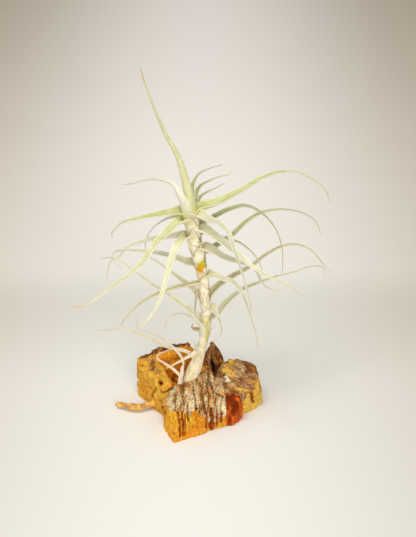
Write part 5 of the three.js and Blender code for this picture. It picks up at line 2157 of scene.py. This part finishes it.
    def relief(self, skin: Skin, found: Features) -> np.ndarray:
        """How far each point stands out of the joined skin, in millimetres."""
        deep, marks, seam = self.deep, found.marks, found.seam
        steps = self.step.at(skin.points) * skin.on("left", "back")
        crust = deep.coat + deep.ridges * skin.ridges
        crust += deep.blocks * np.sign(skin.broken) * (1 - seam)
        bare = deep.bare_grains * self.grain.at(skin.points) + deep.bare_ridges * skin.ridges
        bare += deep.steps * steps + deep.bare_grit * found.grit
        relief = deep.lumps * self.lump.at(skin.points) + deep.crumbs * self.crumb.at(skin.points)
        knotted = found.knot * (deep.lobes * found.lobes + deep.knot)
        relief += mix(bare, crust, found.bark) + knotted
        relief -= deep.seam * seam + deep.fissure * found.fissure + deep.pores * found.pores
        cut = deep.groove * found.groove + deep.crack * marks[Spot.CRACK]
        relief -= cut - deep.chip * marks[Spot.CHIP]
        relief -= deep.pit * marks[Spot.PIT] + deep.red * marks[Spot.RED]
        return relief * ease(skin.points[:, 2], 0.0, deep.full_above)

    def painted_shade_and_char(self, skin: Skin, found: Features) -> np.ndarray:
        """How strongly each point is darkened by painted shade and blackened bark, from 0 to 1."""
        shade, marks = self.shade, found.marks
        hollow = shade.fissure * found.fissure + shade.seam * found.seam
        hollow = hollow + shade.pores * found.pores + shade.shard * skin.on("shard")
        crumbled = ease(-found.grit, *self.crumbled_from) * (1 - found.bark) * (1 - found.knot)
        crumbled *= np.where(skin.on("left"), shade.crumbs_left, shade.crumbs)
        lobed = shade.lobes * ease(-found.lobes, *self.lobe_gaps) * found.knot
        least = np.maximum(shade.crack * marks[Spot.CRACK], shade.char * marks[Spot.CHAR])
        return np.clip(np.clip(hollow, 0, 1) + (crumbled + lobed), least, 1)

    def coats(self, skin: Skin) -> tuple[np.ndarray, np.ndarray, np.ndarray]:
        """Where the cork has its bark, where that is dark, and where its inner wall is orange.

        Args:
            skin: The cork's skin.

        Returns:
            Three masks from 0 to 1.
        """
        ragged, (aside, outward, upward) = skin.ragged, skin.normals.T
        top = ease(upward + self.top_ragged * ragged, *self.top_from)
        backwards = outward - self.back_aside * aside + self.back_ragged * ragged
        behind = ease(backwards, *self.back_from)
        fringe = self.fringe.at(np.stack([skin.across, skin.along, skin.across * 0], axis=1))
        height = skin.up + self.lip_fringe * fringe + self.lip_ragged * ragged
        bark = np.where(skin.on("shard"), 1.0, 0.0)
        for name, lip in (("front", self.front_lip), ("right", self.right_lip)):
            over = ease(height - np.interp(skin.right, *zip(*lip)), *self.lip_blend)
            coat = np.where(outward < self.front_face, over, np.maximum(top, behind))
            bark = np.where(skin.on(name), coat, bark)
        bark = np.where(skin.on("left", "back"), behind, bark)
        bark = np.where(skin.on("wedge"), top * (ragged > 0), bark)
        darker = ease(skin.up + self.dark_fringe * fringe, *self.darkens_above)
        least, added = self.front_dark
        dark = np.where(skin.on("front"), least + added * darker, 1.0)
        dark = np.where(skin.on("right"), self.right_dark, dark)
        dark = np.where(skin.on("shard"), self.shard_dark, dark)
        dark = np.clip(dark + self.dark_tone * self.tone.at(skin.points), 0, 1)
        faces_in = skin.on("left") & (aside > self.faces_right)
        inside = skin.on("back", "wedge", "floor") | faces_in
        low = ease(-skin.up, *self.reddens_below) * skin.on("front")
        patches = self.inner_patches * ease(ragged, 0, 0.6)
        inner = np.where(inside, 1.0, np.maximum(patches, self.inner_below * low))
        return bark, dark, inner

    def build(self, grower: Grower, finish: Material) -> None:
        """Makes the cork and the loose flakes on its bark."""
        skin, owner = self.shell()
        self.dress(skin, owner)
        skin.materials.clear()
        skin.materials.append(finish)
        skin.polygons.foreach_set("use_smooth", [True] * len(skin.polygons))
        flakes = grower.grow(grower.flakes, skin.copy(), {"Finish": finish})
        fit_out("cork_bark", skin, "cork", "cork_mount")
        fit_out("cork_bark_flakes", flakes, "cork")


@dataclass(frozen=True)
class Lamp:
    """A soft square lamp: where it hangs, what it points at, its side, power and warmth."""

    name: str
    at: Mark
    aim: Mark
    side: float
    power: float
    colour: Mark = (1.0, 0.99, 0.975)

    def hang(self) -> None:
        """Puts the lamp in the scene."""
        light = bpy.data.lights.new(self.name, "AREA")
        light.shape, light.size = "SQUARE", self.side
        light.energy, light.color = self.power, self.colour
        lamp = link(bpy.data.objects.new(self.name, light))
        lamp.location = self.at
        towards = Vector(self.aim) - Vector(self.at)
        lamp.rotation_euler = towards.to_track_quat("-Z", "Y").to_euler()


@dataclass(frozen=True)
class Studio:
    """The pale floor, the soft light and the camera."""

    lens: float = 86.19
    sensor: float = 36.0
    clip: Pair = (0.05, 20.0)
    air: float = 0.525
    air_colour: str = "f4f1ec"
    floor: float = 4.0
    lamps: tuple[Lamp, ...] = (
        Lamp("key", (-0.5, -0.6, 1.9), (0, 0.1, 0.1), 1.0, 22.0),
        Lamp("front", (0.4, -1.8, 0.85), (0, 0, 0.1), 1.0, 19.0),
    )

    def build(self, paper: Material) -> None:
        """Sets up floor, light, camera and the way that colours are shown."""
        scene = bpy.context.scene
        mesh = bpy.data.meshes.new("floor")
        reach = self.floor
        corners = [(-reach, -reach, 0), (reach, -reach, 0), (reach, reach, 0), (-reach, reach, 0)]
        mesh.from_pydata(corners, [], [(0, 1, 2, 3)])
        mesh.materials.append(paper)
        floor = link(bpy.data.objects.new("floor", mesh))
        world = bpy.data.worlds.new("studio_air")
        world.use_nodes = True
        sky = world.node_tree.nodes["Background"]
        sky.inputs["Color"].default_value = paint(self.air_colour)
        sky.inputs["Strength"].default_value = self.air
        scene.world = world
        for lamp in self.lamps:
            lamp.hang()
        camera_data = bpy.data.cameras.new("camera")
        camera_data.sensor_width, camera_data.lens = self.sensor, self.lens
        camera_data.clip_start, camera_data.clip_end = self.clip
        camera = link(bpy.data.objects.new("camera", camera_data))
        camera.location = Vector(SIGHT.eye * MM)
        camera.rotation_euler = (math.pi / 2 - SIGHT.tilt, 0.0, 0.0)
        scene.camera = camera
        scene.view_settings.view_transform = "Standard"


# Each tone's two faces, margin, foot, ripe part and tip, and how scaly and rough it is
LEAF_COLOURS: Mapping[LeafTone, Sequence] = {
    LeafTone.PALE: ("cac992", "ede8ca", "fffbeb", "d9d890", "efe6ae", "e39a5c", 0.42),
    LeafTone.SILVER: ("d2cfb0", "e9e5d0", "fdf9ee", "ddd8a8", "e4dcba", "d9a06a", 0.48),
    LeafTone.CREAM: ("dcd9ae", "f7f2de", "fffdf2", "e2e0ac", "f2ebc4", "e39a5c", 0.42),
    # Chalk's bright foot is painted light for bases that lie in shade
    LeafTone.CHALK_LIT: ("e0ddb6", "f6f1da", "fffdf2", "f2efd0", "c6c288", "cf9a60", 0.44),
    LeafTone.GREEN: ("c0c17e", "d8d7a2", "f7f3de", "cdcd7c", "e8dfac", "dd9350", 0.38),
    # Olive for the back leaves is partly painted shade
    LeafTone.OLIVE_SHADED: ("b2b47e", "cdcea0", "f0ecd2", "d4d198", "dcd49c", "c8905a", 0.32),
    LeafTone.KHAKI: ("c3b98c", "ddd4aa", "f6eed4", "e0d8a4", "e2d69c", "c8945c", 0.3),
    LeafTone.STRAW: ("e8dfc0", "efe6ca", "f7f1de", "fbf0d8", "e0d5b2", "c8a070", 0.2, 0.65),
    LeafTone.DRY: ("f6e0b6", "fceac8", "fdf4dd", "fdf0d6", "f2d8aa", "cf9458", 0.15, 0.65),
    LeafTone.WITHERED: ("b89c70", "cdb78a", "dcc99e", "d6c292", "a88254", "7a5230", 0.1),
}


def main() -> None:
    """Builds the plant, its cork and the studio."""
    logging.basicConfig(level=logging.INFO, format="%(name)s: %(message)s")
    Finish.effects = Effects()
    grower = Grower()
    sheath_finish = SheathFinish().material()
    stem = Stem()
    stem.build(grower, sheath_finish, OLD_SHEATHS)
    # A paler copy of the sheath finish for the young shoot: partly its own paler colour, partly
    # painted light for the shade it lies in beside the stem
    young = SheathFinish("young_sheaths", "fff3da", "ffe6cc", "e6c79c")
    OffsetShoot().build(grower, stem, young.material())
    Twig().build(grower, TwigFinish().material())
    finishes = {tone: LeafFinish(tone, *row).material() for tone, row in LEAF_COLOURS.items()}
    for seed, leaf in enumerate((*LEAVES, *DRY_LEAVES)):
        mesh = leaf.mesh(grower, stem, finishes[leaf.tone], seed)
        slot = "dry_leaf" if leaf.dead else "leaf"
        fit_out(f"{leaf.name}_blade", mesh, slot, leaf.name)
    CorkMount().build(grower, CorkFinish().material())
    Studio().build(FloorFinish().material())


if __name__ == "__main__":
    main()
